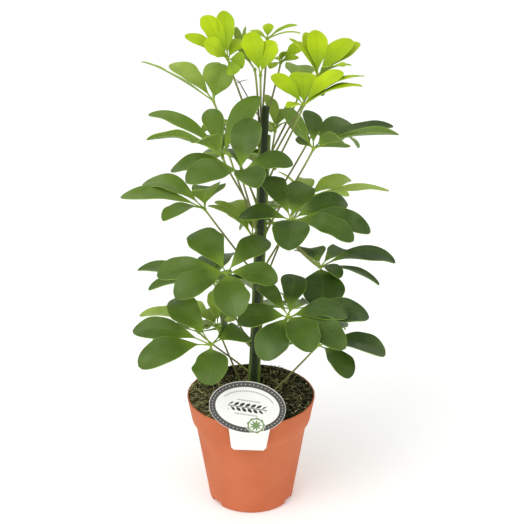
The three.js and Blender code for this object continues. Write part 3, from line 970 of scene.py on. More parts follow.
@dataclass(frozen=True)
class BladeForm:
    """How every blade is shaped: its outline, fold, margins, tint, thickness and rib. The tint carries a
    painted shade that deepens leaflets towards the right and lightens them towards the left.

    Each leaflet draws from the ranges tip_taper, folds, wave_turns and wave_depths.
    """

    rows: int = 30
    columns: int = 12
    row_crowding: float = 0.35
    start: float = 0.9
    least_half: float = 0.372 * MM
    last: float = 0.9997
    widest_at: float = 0.62
    base_taper: float = 0.75
    tip_taper: Pair = (0.46, 0.6)
    fullness: float = 1.06
    fold: float = 0.16
    folds: Pair = (0.7, 1.2)
    fold_round: float = 0.1
    wave: float = 0.06
    wave_turns: Pair = (1.1, 2.1)
    wave_depths: Pair = (0.5, 1.6)
    scallop: float = 0.035
    scallop_phase: float = 1.7
    scallop_turns: float = 1.5
    sway: float = 0.022
    twist: float = math.radians(9.0)
    tint_draw: float = 0.4
    # Painted shade across the plant, which deepens leaflets towards the right
    painted_shade_share: float = 0.38
    painted_shade_reach: float = 90 * MM
    most_aged_and_shaded: float = 0.6
    curl: float = 0.35
    curl_from: float = 0.72
    thickness: float = 0.7 * MM
    rib_radii: Point = (0.78 * MM, 0.62 * MM, 0.22 * MM)
    rib_depths: Point = (0.0, 0.25 * MM, 0.2 * MM)
    rib_reach: Pair = (0.25, 0.93)
    rib_steps: tuple[int, int] = (5, 9)

    def half_share(self, share: np.ndarray, taper: float) -> np.ndarray:
        """Gives the half width along the blade as a share of its largest.

        Args:
            share: Places along the blade, from 0 to 1.
            taper: How sharply the blade closes towards its tip.

        Returns:
            The shares, 1 at the widest place.
        """
        power = math.log(0.5) / math.log(self.widest_at)
        inside = np.clip(share, 0.0, self.last)
        swell = np.sin(math.pi * inside**power)
        return np.where(inside < self.widest_at, swell**self.base_taper, swell**taper)


BLADE = BladeForm()
ARCH = {Tone.YOUNG: 0.09, Tone.LIGHT: 0.12, Tone.GREEN: 0.14, Tone.DARK: 0.15}


@dataclass
class Leaflet:
    """One leaflet: the reach of its tip from the hub, its width, roll and arch."""

    reach: np.ndarray
    width: float
    roll: float
    arch: float
    stalk: float
    facing: np.ndarray
    age: float
    rng: random.Random
    length: float = field(init=False)
    normal: np.ndarray = field(init=False)
    side: np.ndarray = field(init=False)
    sway: float = field(init=False)

    def __post_init__(self) -> None:
        """Works out which way the blade faces and draws how far its middle sways."""
        self.sway = self.rng.uniform(-1, 1)
        self.length = float(np.linalg.norm(self.reach))
        along = self.reach / self.length
        level = unit(self.facing - along * float(self.facing @ along))
        turn = math.radians(self.roll)
        self.normal = level * math.cos(turn) + np.cross(along, level) * math.sin(turn)
        self.side = np.cross(along, self.normal)

    def midline(self, at: np.ndarray) -> tuple[np.ndarray, np.ndarray, np.ndarray]:
        """Follows the leaflet's middle from the hub to its tip.

        Args:
            at: Places along it, from 0 to 1.

        Returns:
            The points from the hub, the way up from the blade at each, and how far along the blade each is.
        """
        lift = 4 * self.arch * self.length
        share = at[:, None]
        points = share * self.reach + lift * share * (1 - share) * self.normal
        droop = np.maximum(0.0, share - BLADE.curl_from) ** 2
        points = points - BLADE.curl * self.length * droop * self.normal
        slope = lift * (1 - 2 * share) - 2 * BLADE.curl * self.length * np.sqrt(droop)
        over = np.cross(self.side, self.reach + slope * self.normal)
        inside = np.clip((at - self.stalk) / (1 - self.stalk), 0.0, 1.0)
        sway = self.length * BLADE.sway * self.sway * np.sin(math.pi * inside) ** 2
        return points + self.side * sway[:, None], over / np.linalg.norm(over, axis=1, keepdims=True), inside

    def blade(self, template: bpy.types.Object, hub: np.ndarray) -> bpy.types.Object:
        """Copies the flat grid and shapes the copy into this leaflet's blade.

        Args:
            template: The flat grid, one unit square.
            hub: The point that the leaflets grow from.

        Returns:
            The blade, still without thickness.
        """
        mesh = template.data.copy()
        flat = np.empty(len(mesh.vertices) * 3)
        mesh.vertices.foreach_get("co", flat)
        flat = flat.reshape(-1, 3)
        run = flat[:, 0] + 0.5
        run = run * (1 + BLADE.row_crowding * (1 - run))
        across = -2 * flat[:, 1]
        first = self.stalk * BLADE.start
        at = first + (1 - first) * run
        share = (at - self.stalk) / (1 - self.stalk)
        draw = self.rng.uniform
        half = 0.5 * BLADE.fullness * self.width * BLADE.half_share(share, draw(*BLADE.tip_taper))
        half = np.maximum(half, BLADE.least_half)
        points, over, inside = self.midline(at)
        twist = BLADE.twist * draw(-1, 1) * inside
        bend = np.sqrt(across**2 + BLADE.fold_round**2) - BLADE.fold_round
        lift = BLADE.fold * draw(*BLADE.folds) * half * bend + half * across * np.sin(twist)
        spread = np.ones(len(flat))
        for side_sign in (-1.0, 1.0):
            phase, turns, depth = draw(0, TURN), draw(*BLADE.wave_turns), draw(*BLADE.wave_depths)
            ripple = np.sin(phase + TURN * turns * share) * across**2
            here = across * side_sign > 0
            lift = lift + np.where(here, BLADE.wave * depth * half * ripple, 0.0)
            scallop = np.sin(BLADE.scallop_phase * phase + BLADE.scallop_turns * TURN * turns * share)
            scallop = scallop * np.sin(math.pi * inside)
            spread = spread + np.where(here, BLADE.scallop * depth * scallop, 0.0)
        shaped = hub + points + self.side * (across * half * spread)[:, None] + over * lift[:, None]
        mesh.vertices.foreach_set("co", shaped.ravel())
        # Painted shade: leaflets towards the right are deepened and those towards the left are lightened
        aged_and_shaded = self.age + BLADE.painted_shade_share * (hub + self.reach / 2)[0] / BLADE.painted_shade_reach
        value = BLADE.tint_draw * self.rng.random() + float(np.clip(aged_and_shaded, 0, BLADE.most_aged_and_shaded))
        tint_points(mesh, np.full(len(flat), value))
        return link("blade", mesh)

    def rib(self, hub: np.ndarray) -> Run:
        """Gives the stalk that runs on under the blade as its midrib.

        Args:
            hub: The point that the leaflets grow from.

        Returns:
            The rib's route.
        """
        bare, along = BLADE.rib_steps
        at = np.concatenate([np.linspace(0.0, self.stalk, bare), np.linspace(*BLADE.rib_reach, along)])
        points, over, _ = self.midline(at)
        ends = [0, self.stalk, BLADE.rib_reach[1]]
        sunk = np.interp(at, ends, BLADE.rib_depths)
        return Run(hub + points - over * sunk[:, None], np.interp(at, ends, BLADE.rib_radii))


@dataclass(frozen=True)
class Fan:
    """Leaflets spread evenly round the hub of a leaf at the back, in degrees and millimetres."""

    count: int
    start: float
    end: float
    length: float
    droop: float
    width: float
    shorter: float = 0.12

    def reaches(self) -> list[np.ndarray]:
        """Gives the reach of each leaflet's tip.

        Returns:
            The reaches in metres.
        """
        fall = math.radians(self.droop)
        made = []
        for i in range(self.count):
            turn = math.radians(self.start + (self.end - self.start) * i / (self.count - 1))
            long = self.length * MM * (1 - self.shorter * (i % 2))
            out = long * math.cos(fall)
            made.append(np.array([out * math.cos(turn), out * math.sin(turn), -long * math.sin(fall)]))
        return made


@dataclass(frozen=True)
class Leaf:
    """A palmate leaf: its hub, what it grows from, the way it faces and its leaflets.

    Sizes are in millimetres. A leaflet is the reach of its tip to the right, up and towards the viewer, its
    width, how far it is rolled about its own length in degrees, and its arch where that isn't the usual one.
    Stalk is the share of a leaflet that is bare stalk, bow how much of the usual bend the petiole has, and
    age how far the leaf's colour is deepened within its tone, partly as the leaf grows older and partly as
    painted shade where it sits in shade; the painted shade from left to right is added to it, and the sum is
    kept from 0 to 0.6.
    """

    name: str
    tone: Tone
    hub: Point
    face: Point
    leaflets: tuple[tuple[float, ...], ...] = ()
    stem: str = ""
    root: float = 0.0
    soil: Pair = (0.0, 0.0)
    fan: Fan | None = None
    arch: float = 0.0
    petiole: float = 0.9
    stalk: float = 0.15
    bow: float = 1.0
    # How far the leaf is deepened, partly by growing older and partly as painted shade
    age: float = 0.34
    sheath: float = 1.8
    sheath_fade: float = 18
    neck: float = 0.35
    neck_fade: float = 26
    petiole_depth: float = 10.0
    petiole_lift: float = 0.03
    petiole_bend: float = 0.06
    petiole_grips: Pair = (0.35, 0.75)
    knob: float = 1.7
    steps: int = 26
    roundness: int = 4
    rib_roundness: int = 3
    crease: float = 50.0

    def grown(self, rng: random.Random) -> list[Leaflet]:
        """Makes the leaflets of this leaf.

        Args:
            rng: The draw of their waves and tints.

        Returns:
            The leaflets.
        """
        facing, arch = unit(seen(*self.face)), self.arch or ARCH[self.tone]
        if self.fan:
            rows = [(reach, self.fan.width, 0.0, arch) for reach in self.fan.reaches()]
        else:
            rows = [(seen(*row[:3]) * MM, *row[3:], *(0.0, arch)[len(row) - 4:]) for row in self.leaflets]
        return [
            Leaflet(reach, width * MM, roll, own_arch, self.stalk, facing, self.age, rng)
            for reach, width, roll, own_arch in rows
        ]

    def petiole_run(self) -> Run:
        """Gives the long stalk from the stem or the soil to the hub.

        Returns:
            The petiole's route, wider where it clasps the stem.
        """
        hub = np.array(self.hub) * MM
        if self.stem:
            root = STEMS[self.stem].at(self.root * MM)
        else:
            root = np.array([*self.soil, STAKE.soil_level / MM - self.petiole_depth]) * MM
        span = np.linalg.norm(hub - root)
        first, second = (root + grip * (hub - root) for grip in self.petiole_grips)
        start = first + np.array([0, 0, self.petiole_lift * self.bow * span])
        end = second - self.petiole_bend * self.bow * span * unit(seen(*self.face))
        at = np.linspace(0, 1, self.steps)[:, None]
        back = 1 - at
        points = back**3 * root + 3 * back**2 * at * start + 3 * back * at**2 * end + at**3 * hub
        clasp = (self.sheath - self.petiole) * np.exp(-at[:, 0] * self.sheath_fade)
        return Run(points, (self.petiole + clasp + self.neck * np.exp(-back[:, 0] * self.neck_fade)) * MM)

    def build(self, template: bpy.types.Object, paint: LeafPaint, long_stalk: bpy.types.Material) -> None:
        """Models the whole leaf.

        Args:
            template: The flat grid that blades are copied from.
            paint: The maker of leaf materials.
            long_stalk: The petiole's material.
        """
        hub = np.array(self.hub) * MM
        leaflets = self.grown(random.Random(self.name))
        blades = fuse([leaflet.blade(template, hub) for leaflet in leaflets], f"{self.name}_blades")
        shell = blades.modifiers.new("thickness", "SOLIDIFY")
        shell.thickness, shell.offset = BLADE.thickness, 0.0
        shell.material_offset, shell.material_offset_rim = 1, 2
        upper, under, margin, stalk = paint.of(self.tone)
        apply_all(wear(blades, upper, under, margin))
        ribs = wear(tubes("ribs", [leaflet.rib(hub) for leaflet in leaflets], self.rib_roundness), stalk)
        run = self.petiole_run()
        petiole = wear(tubes("petiole", [run], self.roundness), long_stalk)
        places = np.array([vertex.co for vertex in petiole.data.vertices])
        nearest = np.linalg.norm(places[:, None] - run.points[None], axis=2).argmin(axis=1)
        tint_points(petiole.data, nearest / (self.steps - 1))
        ball = bpy.ops.mesh.primitive_ico_sphere_add
        knob = wear(fresh(ball, subdivisions=3, radius=self.knob * MM, location=hub), stalk)
        whole = apply_all(fuse([blades, ribs, petiole, knob], f"{self.name}_foliage"))
        soften(whole, self.crease)
        settle(whole, self.tone.value, self.name)


YOUNG, LIGHT, GREEN, DARK = Tone.YOUNG, Tone.LIGHT, Tone.GREEN, Tone.DARK
LEAVES = (
    Leaf("leaf_low_left", DARK, (-36, -45, 182), (-0.1, 0.6, 0.8), (
        (-35, 42, -26, 27), (-71, 14, -8, 23), (-64, -17, 22, 29), (1, -33, 38, 31), (34, 8, -28, 25),
        (12, 23, -35, 14, 60),
    ), soil=(-24, -22), stalk=0.18, age=0.12),
    Leaf("leaf_low_right", DARK, (62, -15, 166), (0.1, 0.8, 0.55), (
        (61, -7, 12, 30), (28, -28, 25, 25), (-27, 2, -15, 20), (22, 22, -42, 24), (-8, 18, -48, 22),
    ), soil=(9, -5), stalk=0.17, bow=0.1),
    Leaf("leaf_low_left_behind", LIGHT, (-31, 10, 171), (-0.1, 0.85, 0.5), (
        (2, 38, -20, 19), (-73, 13, -8, 20), (-12, 17, -25, 13), (-38, 22, -38, 22), (18, 16, -28, 18),
        (17, 9, 12, 14),
    ), soil=(-6, 19), stalk=0.16, bow=0.1),
    Leaf("leaf_low_back_left", DARK, (-50, 52, 145), (-0.3, 0.9, 0.2), stem="back", root=120,
        fan=Fan(5, 15, 150, 54, 22, 24)),
    Leaf("leaf_low_back_right", DARK, (38, 62, 165), (0.2, 0.9, 0.2), stem="back", root=128,
        fan=Fan(5, 5, 170, 58, 24, 25)),
    Leaf("leaf_lower_left_behind", DARK, (-32, -10, 230), (-0.3, 0.85, 0.4), (
        (-71, 11, -6, 18), (-60, -7, 18, 19), (-8, 24, -40, 18), (13, 26, -38, 18),
    ), stem="left", root=152, arch=0.08),
    Leaf("leaf_lower_left", DARK, (-21, -70, 266), (0, 0.62, 0.78), (
        (-29, 37, -26, 30), (-61, -1, -2, 24), (-44, -20, 22, 26), (8, -37, 34, 30), (45, -6, 4, 22),
        (37, 30, -24, 23),
    ), stem="left", root=190, stalk=0.09),
    Leaf("leaf_lower_right", DARK, (34, -70, 223), (0, 0.6, 0.8), (
        (-27, 30, -26, 15), (6, 38, -32, 22), (72, 1, -14, 25), (52, 3, 8, 23), (49, -26, 26, 25),
        (19, -28, 42, 28), (-23, -36, 30, 28), (-45, -3, 2, 24),
    ), stem="right", root=150, stalk=0.09),
    Leaf("leaf_lower_back_left", DARK, (-36, 61, 193), (-0.3, 0.9, 0.2), stem="back", root=172,
        fan=Fan(5, 20, 135, 52, 22, 24)),
    Leaf("leaf_side_right", DARK, (64, 12, 233), (0.1, 0.85, 0.5), (
        (-11, 17, -40, 24), (26, 16, -38, 20), (69, 6, -4, 23), (53, -15, 18, 15, -10, 0.1),
        (0, -37, 38, 37), (17, -9, 28, 14), (-22, 16, -28, 13),
    ), stem="back", root=288, petiole=1.7, stalk=0.12),
    Leaf("leaf_middle_right", DARK, (36, -55, 310), (0, 0.62, 0.78), (
        (-22, 39, -30, 20), (13, 33, -26, 25), (49, 17, -14, 24), (69, -9, 4, 22), (53, -17, 26, 20),
        (-3, -25, 50, 30), (-46, 4, -8, 18),
    ), stem="right", root=232, stalk=0.1),
    Leaf("leaf_middle_back_right", DARK, (40, 80, 262), (0.2, 0.9, 0.2), stem="back", root=200,
        fan=Fan(5, 5, 170, 58, 26, 25)),
    Leaf("leaf_middle_right_behind", LIGHT, (50, 45, 288), (0.2, 0.9, 0.4), (
        (42, 19, -20, 21), (77, 8, 4, 17), (39, 2, 28, 14), (0, 20, -34, 17), (-24, 25, -8, 8, 20),
        (-26, 10, -30, 18),
    ), stem="back", root=222, arch=0.06, stalk=0.14, age=-0.6),
    Leaf("leaf_middle_left", GREEN, (-41, -10, 301), (-0.1, 0.85, 0.45), (
        (-56, 25, -22, 25), (-75, 12, 2, 23, 0, 0.1), (-36, -10, 30, 19), (6, 22, -42, 30), (4, 18, 38, 26),
    ), stem="left", root=228, stalk=0.13, bow=0.2),
    Leaf("leaf_middle_back", LIGHT, (1, 30, 256), (-0.3, 0.85, 0.4), (
        (-40, 29, -6, 9, 20), (-34, 33, -14, 10, 18), (-19, 33, -30, 22), (10, 25, -40, 22),
        (28, 12, -35, 20),
    ), stem="back", root=226),
    Leaf("leaf_upper_back_left", GREEN, (-20, 65, 322), (-0.2, 0.9, 0.2), stem="back", root=258,
        fan=Fan(5, 20, 140, 50, 24, 23)),
    Leaf("leaf_upper_left_front", DARK, (-8, -62, 359), (0, 0.66, 0.75), (
        (-61, 3, -14, 21), (-46, -9, 28, 27), (45, 9, -10, 20), (14, -14, 44, 25), (8, 47, -8, 26),
        (-4, 20, -44, 18),
    ), stem="left", root=272, stalk=0.09),
    Leaf("leaf_upper_left", GREEN, (-24, -30, 359), (0, 0.75, 0.65), (
        (-65, 40, -10, 18, 8), (-13, 45, -26, 18), (31, 54, 2, 24), (-66, 17, 8, 20, 58),
        (-22, 12, 44, 22, 38), (-6, 22, -44, 20),
    ), stem="left", root=282, stalk=0.12, age=0.24),
    Leaf("leaf_upper_right", DARK, (56, 0, 355), (0.2, 0.85, 0.45), (
        (-3, 37, -30, 17), (33, 27, -32, 24), (71, 22, -6, 17), (75, 14, 8, 19, -45), (27, 4, 34, 24, -45),
        (-13, 13, -20, 12, -50), (-25, 38, -6, 13, 130),
    ), stem="right", root=268, arch=0.08, stalk=0.13, age=0.0),
    Leaf("leaf_upper_back_right", GREEN, (58, 68, 345), (0.3, 0.9, 0.2), stem="back", root=276,
        fan=Fan(4, 20, 110, 50, 26, 22)),
    Leaf("leaf_upper_middle", LIGHT, (22, 25, 362), (0, 0.9, 0.3), (
        (-2, 30, -8, 9), (9, 21, -16, 11), (-7, 8, 10, 6), (10, 7, 10, 6), (-8, 34, -12, 9),
    ), stem="right", root=320),
    Leaf("leaf_top_far_left", LIGHT, (-33, 25, 391), (-0.2, 0.9, 0.3), (
        (-63, 36, 6, 15, 20, 0.03), (-39, 36, -24, 20, 0, 0.08), (1, 37, -22, 16), (10, 32, 4, 22, 60),
    ), stem="left", root=296, stalk=0.12, age=0.65),
    Leaf("leaf_top_right_behind", LIGHT, (45, 50, 390), (0.1, 0.9, 0.3), (
        (-2, 28, -34, 26), (14, 18, -40, 18), (-14, 4, 24, 12), (20, 0, -30, 14),
    ), stem="back", root=330, age=0.2),
    Leaf("leaf_top_back", LIGHT, (-14, 62, 352), (0, 0.9, 0.2), stem="back", root=320,
        fan=Fan(4, 40, 140, 46, 20, 18)),
    Leaf("leaf_top_bud", YOUNG, (27, 45, 420), (0, 0.9, 0.3), (
        (21, 18, -8, 11, 40), (16, 4, 4, 7, 30), (-10, -6, 12, 8), (-5, 6, -14, 7), (4, 9, 10, 7),
    ), stem="back", root=374, age=0.3),
    Leaf("leaf_top_right_front", YOUNG, (46, -40, 412), (0, 0.7, 0.7), (
        (-27, 27, -8, 15), (0, 31, -26, 24), (34, 30, -8, 17, -8), (52, 27, -6, 14, -32),
        (50, 17, 6, 18, -30), (-15, -2, 10, 9, 20),
    ), stem="right", root=318, stalk=0.1, age=-0.6),
    Leaf("leaf_top_right", YOUNG, (59, 5, 422), (0.1, 0.6, 0.8), (
        (-1, 42, -12, 18), (-10, 41, -20, 12), (-24, 34, -4, 9, 30), (30, 34, -12, 18), (38, 32, -22, 12),
        (29, 9, 12, 8, -40), (22, 7, 26, 18, -35),
    ), stem="right", root=334, stalk=0.1, age=-0.1),
    Leaf("leaf_top_middle_small", YOUNG, (15, 15, 453), (0, 0.9, 0.4), (
        (1, 14, -6, 9), (26, 13, -6, 6), (-15, 8, -6, 8), (-9, 3, 4, 5), (29, 5, 4, 3, -10),
    ), stem="left", root=378),
    Leaf("leaf_top_middle", YOUNG, (9, -12, 429), (0, 0.5, 0.86), (
        (-10, 38, -6, 18), (10, 31, -4, 17),
    ), stem="left", root=359, stalk=0.12, bow=1.7, age=0.0),
    Leaf("leaf_top_middle_behind", LIGHT, (4, 8, 427), (-0.4, 0.7, -0.5), (
        (-17, 38, -10, 8), (-9, 39, -18, 6),
    ), stem="left", root=346, stalk=0.12, age=0.6),
    Leaf("leaf_top_left", YOUNG, (-19.5, -5, 441.5), (0, 0.5, 0.86), (
        (-21, 39, -10, 17), (-4, 44, -14, 15), (-37, 21, 0, 11), (-20, 13, 14, 17), (11, 19, -17, 13),
        (15, -3, 8, 14, -130), (6, -14, 6, 12, -150),
    ), stem="left", root=350, stalk=0.1, age=0.3),
)


@dataclass(frozen=True)
class Crown:
    """All the leaves and stems of the plant."""

    leaves: tuple[Leaf, ...] = LEAVES

    def build(self, paint: PlasticPaint) -> None:
        """Models the stems and the leaves.

        Args:
            paint: The maker of plain finishes.
        """
        bark, dry = paint.of("stem_bark", STEM_BARK), paint.of("dry_twig", DRY_TWIG)
        for stem in STEMS.values():
            stem.build(bark, dry)
        grid = bpy.ops.mesh.primitive_grid_add
        template = fresh(grid, x_subdivisions=BLADE.rows, y_subdivisions=BLADE.columns, size=1)
        leaf_paint = LeafPaint()
        long_stalk = leaf_paint.petiole(PetioleFinish())
        for leaf in self.leaves:
            leaf.build(template, leaf_paint, long_stalk)
        bpy.data.objects.remove(template)


# Pot and soil


@dataclass(frozen=True)
class Pot:
    """The tapered nursery pot with its lip, drain holes and foot notches."""

    height: float = 107 * MM
    rim_radius: float = 60 * MM
    base_radius: float = 39.8 * MM
    lip_height: float = 24 * MM
    lip_flare: float = 4.5 * MM
    lip_step: float = 3.3 * MM
    lip_ease: float = 8 * MM
    easing: float = 3.0 * MM
    ease_steps: int = 20
    rim_round: float = 0.8 * MM
    rim_corners: tuple[Pair, ...] = ((0.25, 1.0), (0.45, 0.3), (1.0, 0.0))
    wall: float = 1.6 * MM
    floor: float = 2.2 * MM
    foot_round: float = 3.2 * MM
    foot_steps: int = 4
    drain_holes: int = 5
    drain_ring: float = 26 * MM
    drain_radius: float = 4 * MM
    drain_turn: float = 18.0
    drain_sides: int = 32
    notch_width: float = 15 * MM
    notch_depth: float = 6 * MM
    notch_height: float = 4.8 * MM
    notch_angles: tuple[float, ...] = (214, 334, 94)
    overshoot: float = 4 * MM
    steps: int = 160
    crease: float = 32.0

    @property
    def lip_foot(self) -> float:
        """The height of the lip's lower edge."""
        return self.height - self.lip_height

    @property
    def body_top(self) -> float:
        """The height where the plain body ends under the lip."""
        return self.lip_foot - self.lip_step

    @property
    def lip_radius(self) -> float:
        """The radius at the lip's lower edge."""
        return self.rim_radius - self.lip_flare

    @property
    def body_top_radius(self) -> float:
        """The radius where the plain body ends under the lip."""
        return self.lip_radius - self.lip_step

    def inner_radius(self, height: float) -> float:
        """Gives the radius inside the wall.

        Args:
            height: The height above the ground.

        Returns:
            The radius.
        """
        if height >= self.lip_foot:
            return self.rim_radius - self.wall - self.lip_flare * (self.height - height) / self.lip_height
        rise = height / self.body_top
        return self.base_radius - self.wall + (self.body_top_radius - self.base_radius) * rise

    def outer_profile(self) -> list[Pair]:
        """Gives the outside from the middle of the base up to the rim.

        Returns:
            Radius and height of each corner.
        """
        profile = [(0.0, 0.0)]
        for i in range(self.foot_steps + 1):
            turn = TURN / 4 * i / self.foot_steps
            radius = self.base_radius - self.foot_round * (1 - math.sin(turn))
            profile.append((radius, self.foot_round * (1 - math.cos(turn))))
        body_slope = (self.body_top_radius - self.base_radius) / (self.body_top - self.foot_round)
        lip_slope = self.lip_flare / self.lip_height
        for i in range(self.ease_steps + 1):
            share = i / self.ease_steps
            height = self.body_top - self.easing + self.lip_ease * share
            under = self.base_radius + body_slope * (height - self.foot_round)
            lip = self.lip_radius + lip_slope * (height - self.lip_foot)
            profile.append((under + (lip - under) * share**2 * (3 - 2 * share), height))
        return profile + [
            (self.rim_radius - inward * self.rim_round, self.height - down * self.rim_round)
            for inward, down in self.rim_corners
        ]

    def inner_profile(self) -> list[Pair]:
        """Gives the inside from the rim down to the middle of the floor.

        Returns:
            Radius and height of each corner.
        """
        levels = (self.lip_foot, self.body_top, self.floor + self.foot_round)
        wall = [(self.inner_radius(level), level) for level in levels]
        floor = [(self.inner_radius(self.floor) - self.foot_round, self.floor), (0.0, self.floor)]
        return [(self.rim_radius - self.wall, self.height), *wall, *floor]

    def notch_block(self, angle: float, extra: float) -> bpy.types.Object:
        """Makes the block that a notch takes out of the foot.

        Args:
            angle: Where the notch is round the pot, in degrees.
            extra: How much the block is grown.

        Returns:
            The block.
        """
        start = self.base_radius - self.notch_depth - extra
        depth = self.base_radius + self.overshoot - start
        height = self.notch_height + extra + self.overshoot
        turn, middle = math.radians(angle), start + depth / 2
        return apply_all(fresh(
            bpy.ops.mesh.primitive_cube_add, size=1, rotation=(0, 0, turn),
            location=(middle * math.cos(turn), middle * math.sin(turn), height / 2 - self.overshoot),
            scale=(depth, self.notch_width + 2 * extra, height),
        ))

    def build(self, paint: PlasticPaint) -> None:
        """Models the pot.

        Args:
            paint: The maker of plastic finishes.
        """
        pot = spin("nursery_pot", self.outer_profile() + self.inner_profile(), self.steps)
        for angle in self.notch_angles:
            alcove = self.notch_block(angle, self.wall)
            carve(alcove, spin("body", [*self.outer_profile(), (0.0, self.height)], self.steps), "INTERSECT")
            carve(pot, alcove, "UNION")
            carve(pot, self.notch_block(angle, 0.0), "DIFFERENCE")
        for i in range(self.drain_holes):
            turn = math.radians(self.drain_turn + 360 * i / self.drain_holes)
            hole = fresh(
                bpy.ops.mesh.primitive_cylinder_add, vertices=self.drain_sides, radius=self.drain_radius,
                depth=2 * self.overshoot,
                location=(self.drain_ring * math.cos(turn), self.drain_ring * math.sin(turn), 0),
            )
            carve(pot, apply_all(hole), "DIFFERENCE")
        soften(in_order(pot), self.crease)
        settle(wear(pot, paint.of("terracotta_plastic", TERRACOTTA)), "terracotta_plastic", "pot")


@dataclass(frozen=True)
class Litter:
    """One kind of loose piece on the soil.

    Smallest and largest are its half sizes along each axis, tilt is how far it may tip in radians, and rare
    is the power that makes light tints rare.
    """

    count: int
    smallest: Point
    largest: Point
    tilt: float
    rare: float


CRUMBS = Litter(2600, (0.4 * MM, 0.35 * MM, 0.3 * MM), (1.5 * MM, 0.9 * MM, 0.8 * MM), 1.2, 3.9)
CHUNKS = Litter(900, (1.4 * MM, 0.5 * MM, 0.4 * MM), (3.6 * MM, 1.1 * MM, 0.9 * MM), 1.2, 3.9)
FIBRES = Litter(1700, (1.2 * MM, 0.2 * MM, 0.2 * MM), (3.6 * MM, 0.5 * MM, 0.5 * MM), 0.6, 3.6)


@dataclass(frozen=True)
class Soil:
    """The peat in the pot, with its crumbs and fibres."""

    pot: Pot = Pot()
    finish: EarthFinish = EarthFinish()
    gap: float = 0.3 * MM
    edge: float = 1.2 * MM
    rise: float = 1.6 * MM
    rise_bend: float = 1.5
    sink: float = 1.1 * MM
    clod_height: float = 1.92 * MM
    clod_size: float = 7 * MM
    clod_octaves: tuple[Pair, ...] = ((1.0, 1.0), (2.7, 0.7), (5.5, 0.5))
    clods_to: float = 0.9
    clod_fade: float = 14
    rings: int = 60
    steps: int = 240
    skin: float = 0.1 * MM
    crease: float = 70.0
    litter_edge: float = 1.2 * MM
    litter_lift: float = 0.3
    crumb_bumps: Pair = (0.55, 1.3)
    fibre_bend: Point = (0.5, 2.4, 0.6)
    fibre_points: int = 5
    dry_reach: float = 45 * MM
    dry_slant: float = 0.3
    dry_pale: float = 0.7
    seed: int = 11

    def height_at(self, x: float, y: float) -> float:
        """Gives the height of the soil's surface.

        Args:
            x: Place across.
            y: Place along.

        Returns:
            The height above the ground.
        """
        out = math.hypot(x, y) / self.pot.rim_radius
        dome = self.pot.height + self.edge + self.rise * math.cos(self.rise_bend * min(out, 1.0))
        place = Vector((x, y, 0.0)) / self.clod_size
        clods = sum(share * noise.noise(place * finer) for finer, share in self.clod_octaves)
        edge = max(0.0, 1 - self.clod_fade * max(0.0, out - self.clods_to))
        return dome - self.sink + self.clod_height * clods * edge

    def bed(self) -> None:
        """Models the body of soil with its lumpy top."""
        pot, gap = self.pot, self.gap
        top = pot.height + self.edge
        radius = pot.inner_radius(pot.height) - gap
        alcove = pot.base_radius - pot.notch_depth - pot.wall - gap
        ledge = pot.notch_height + pot.wall + gap
        profile = [
            (0.0, pot.floor + gap), (alcove, pot.floor + gap), (alcove, ledge),
            (pot.inner_radius(pot.floor + pot.foot_round) - gap, ledge),
            *((pot.inner_radius(level) - gap, level + gap) for level in (pot.body_top, pot.lip_foot)),
            *((radius * (1 - i / self.rings), top) for i in range(self.rings + 1)),
        ]
        bed = spin("potting_peat", profile, self.steps)
        for vertex in bed.data.vertices:
            if vertex.co.z > top - self.skin:
                vertex.co.z = self.height_at(vertex.co.x, vertex.co.y)
        soften(bed, self.crease)
        settle(wear(bed, self.finish.peat()), "soil", "soil")

    def scatter(
        self, name: str, template: bpy.types.Object, litter: Litter, rng: random.Random
    ) -> bpy.types.Object:
        """Strews copies of a small shape over the soil.

        Args:
            name: The piece's name.
            template: The small shape, one unit to each side of its middle.
            litter: How many copies there are, and their sizes, tilt and tints.
            rng: The draw of places, turns and sizes.

        Returns:
            All the copies as one mesh object.
        """
        source = template.data
        base = np.array([vertex.co for vertex in source.vertices], dtype=float)
        faces = [tuple(polygon.vertices) for polygon in source.polygons]
        reach = self.pot.rim_radius - self.pot.wall - self.litter_edge
        upright = Vector((0, 0, 1)).to_track_quat("Z", "Y").to_matrix()
        points, corners, tints = [], [], []
        for i in range(litter.count):
            out, turn = reach * math.sqrt(rng.random()), rng.uniform(0, TURN)
            x, y = out * math.cos(turn), out * math.sin(turn)
            scale = np.array([rng.uniform(*ends) for ends in zip(litter.smallest, litter.largest)])
            yaw, tip = rng.uniform(0, TURN), rng.uniform(-litter.tilt, litter.tilt)
            lean = Vector((0, math.sin(tip), math.cos(tip))).to_track_quat("Z", "Y").to_matrix()
            cosine, sine = math.cos(yaw), math.sin(yaw)
            yawed = np.array([[cosine, -sine, 0], [sine, cosine, 0], [0, 0, 1]])
            turned = yawed @ (np.array(lean @ upright) @ (base * scale).T)
            points.append(turned.T + np.array([x, y, self.height_at(x, y) + self.litter_lift * scale[2]]))
            corners += [tuple(v + i * len(base) for v in face) for face in faces]
            dry = min(1.0, max(0.0, -(x + self.dry_slant * y) / self.dry_reach))
            tints += [rng.random() ** (litter.rare * (1 - self.dry_pale * dry))] * len(base)
        mesh = bpy.data.meshes.new(name)
        mesh.from_pydata(np.concatenate(points).tolist(), [], corners)
        tint_points(mesh, tints)
        bpy.data.objects.remove(template)
        return link(name, mesh)

    def crumbs(self) -> None:
        """Models the loose crumbs and chunks of peat on the surface."""
        rng = random.Random(self.seed)
        heaps = []
        for litter in (CRUMBS, CHUNKS):
            crumb = fresh(bpy.ops.mesh.primitive_ico_sphere_add, subdivisions=1, radius=1)
            for vertex in crumb.data.vertices:
                vertex.co *= rng.uniform(*self.crumb_bumps)
            heaps.append(self.scatter("peat_crumbs", crumb, litter, rng))
        paint = self.finish.litter("peat_crumb", self.finish.dark, self.finish.moss)
        settle(wear(fuse(heaps, "peat_crumbs"), paint), "soil")

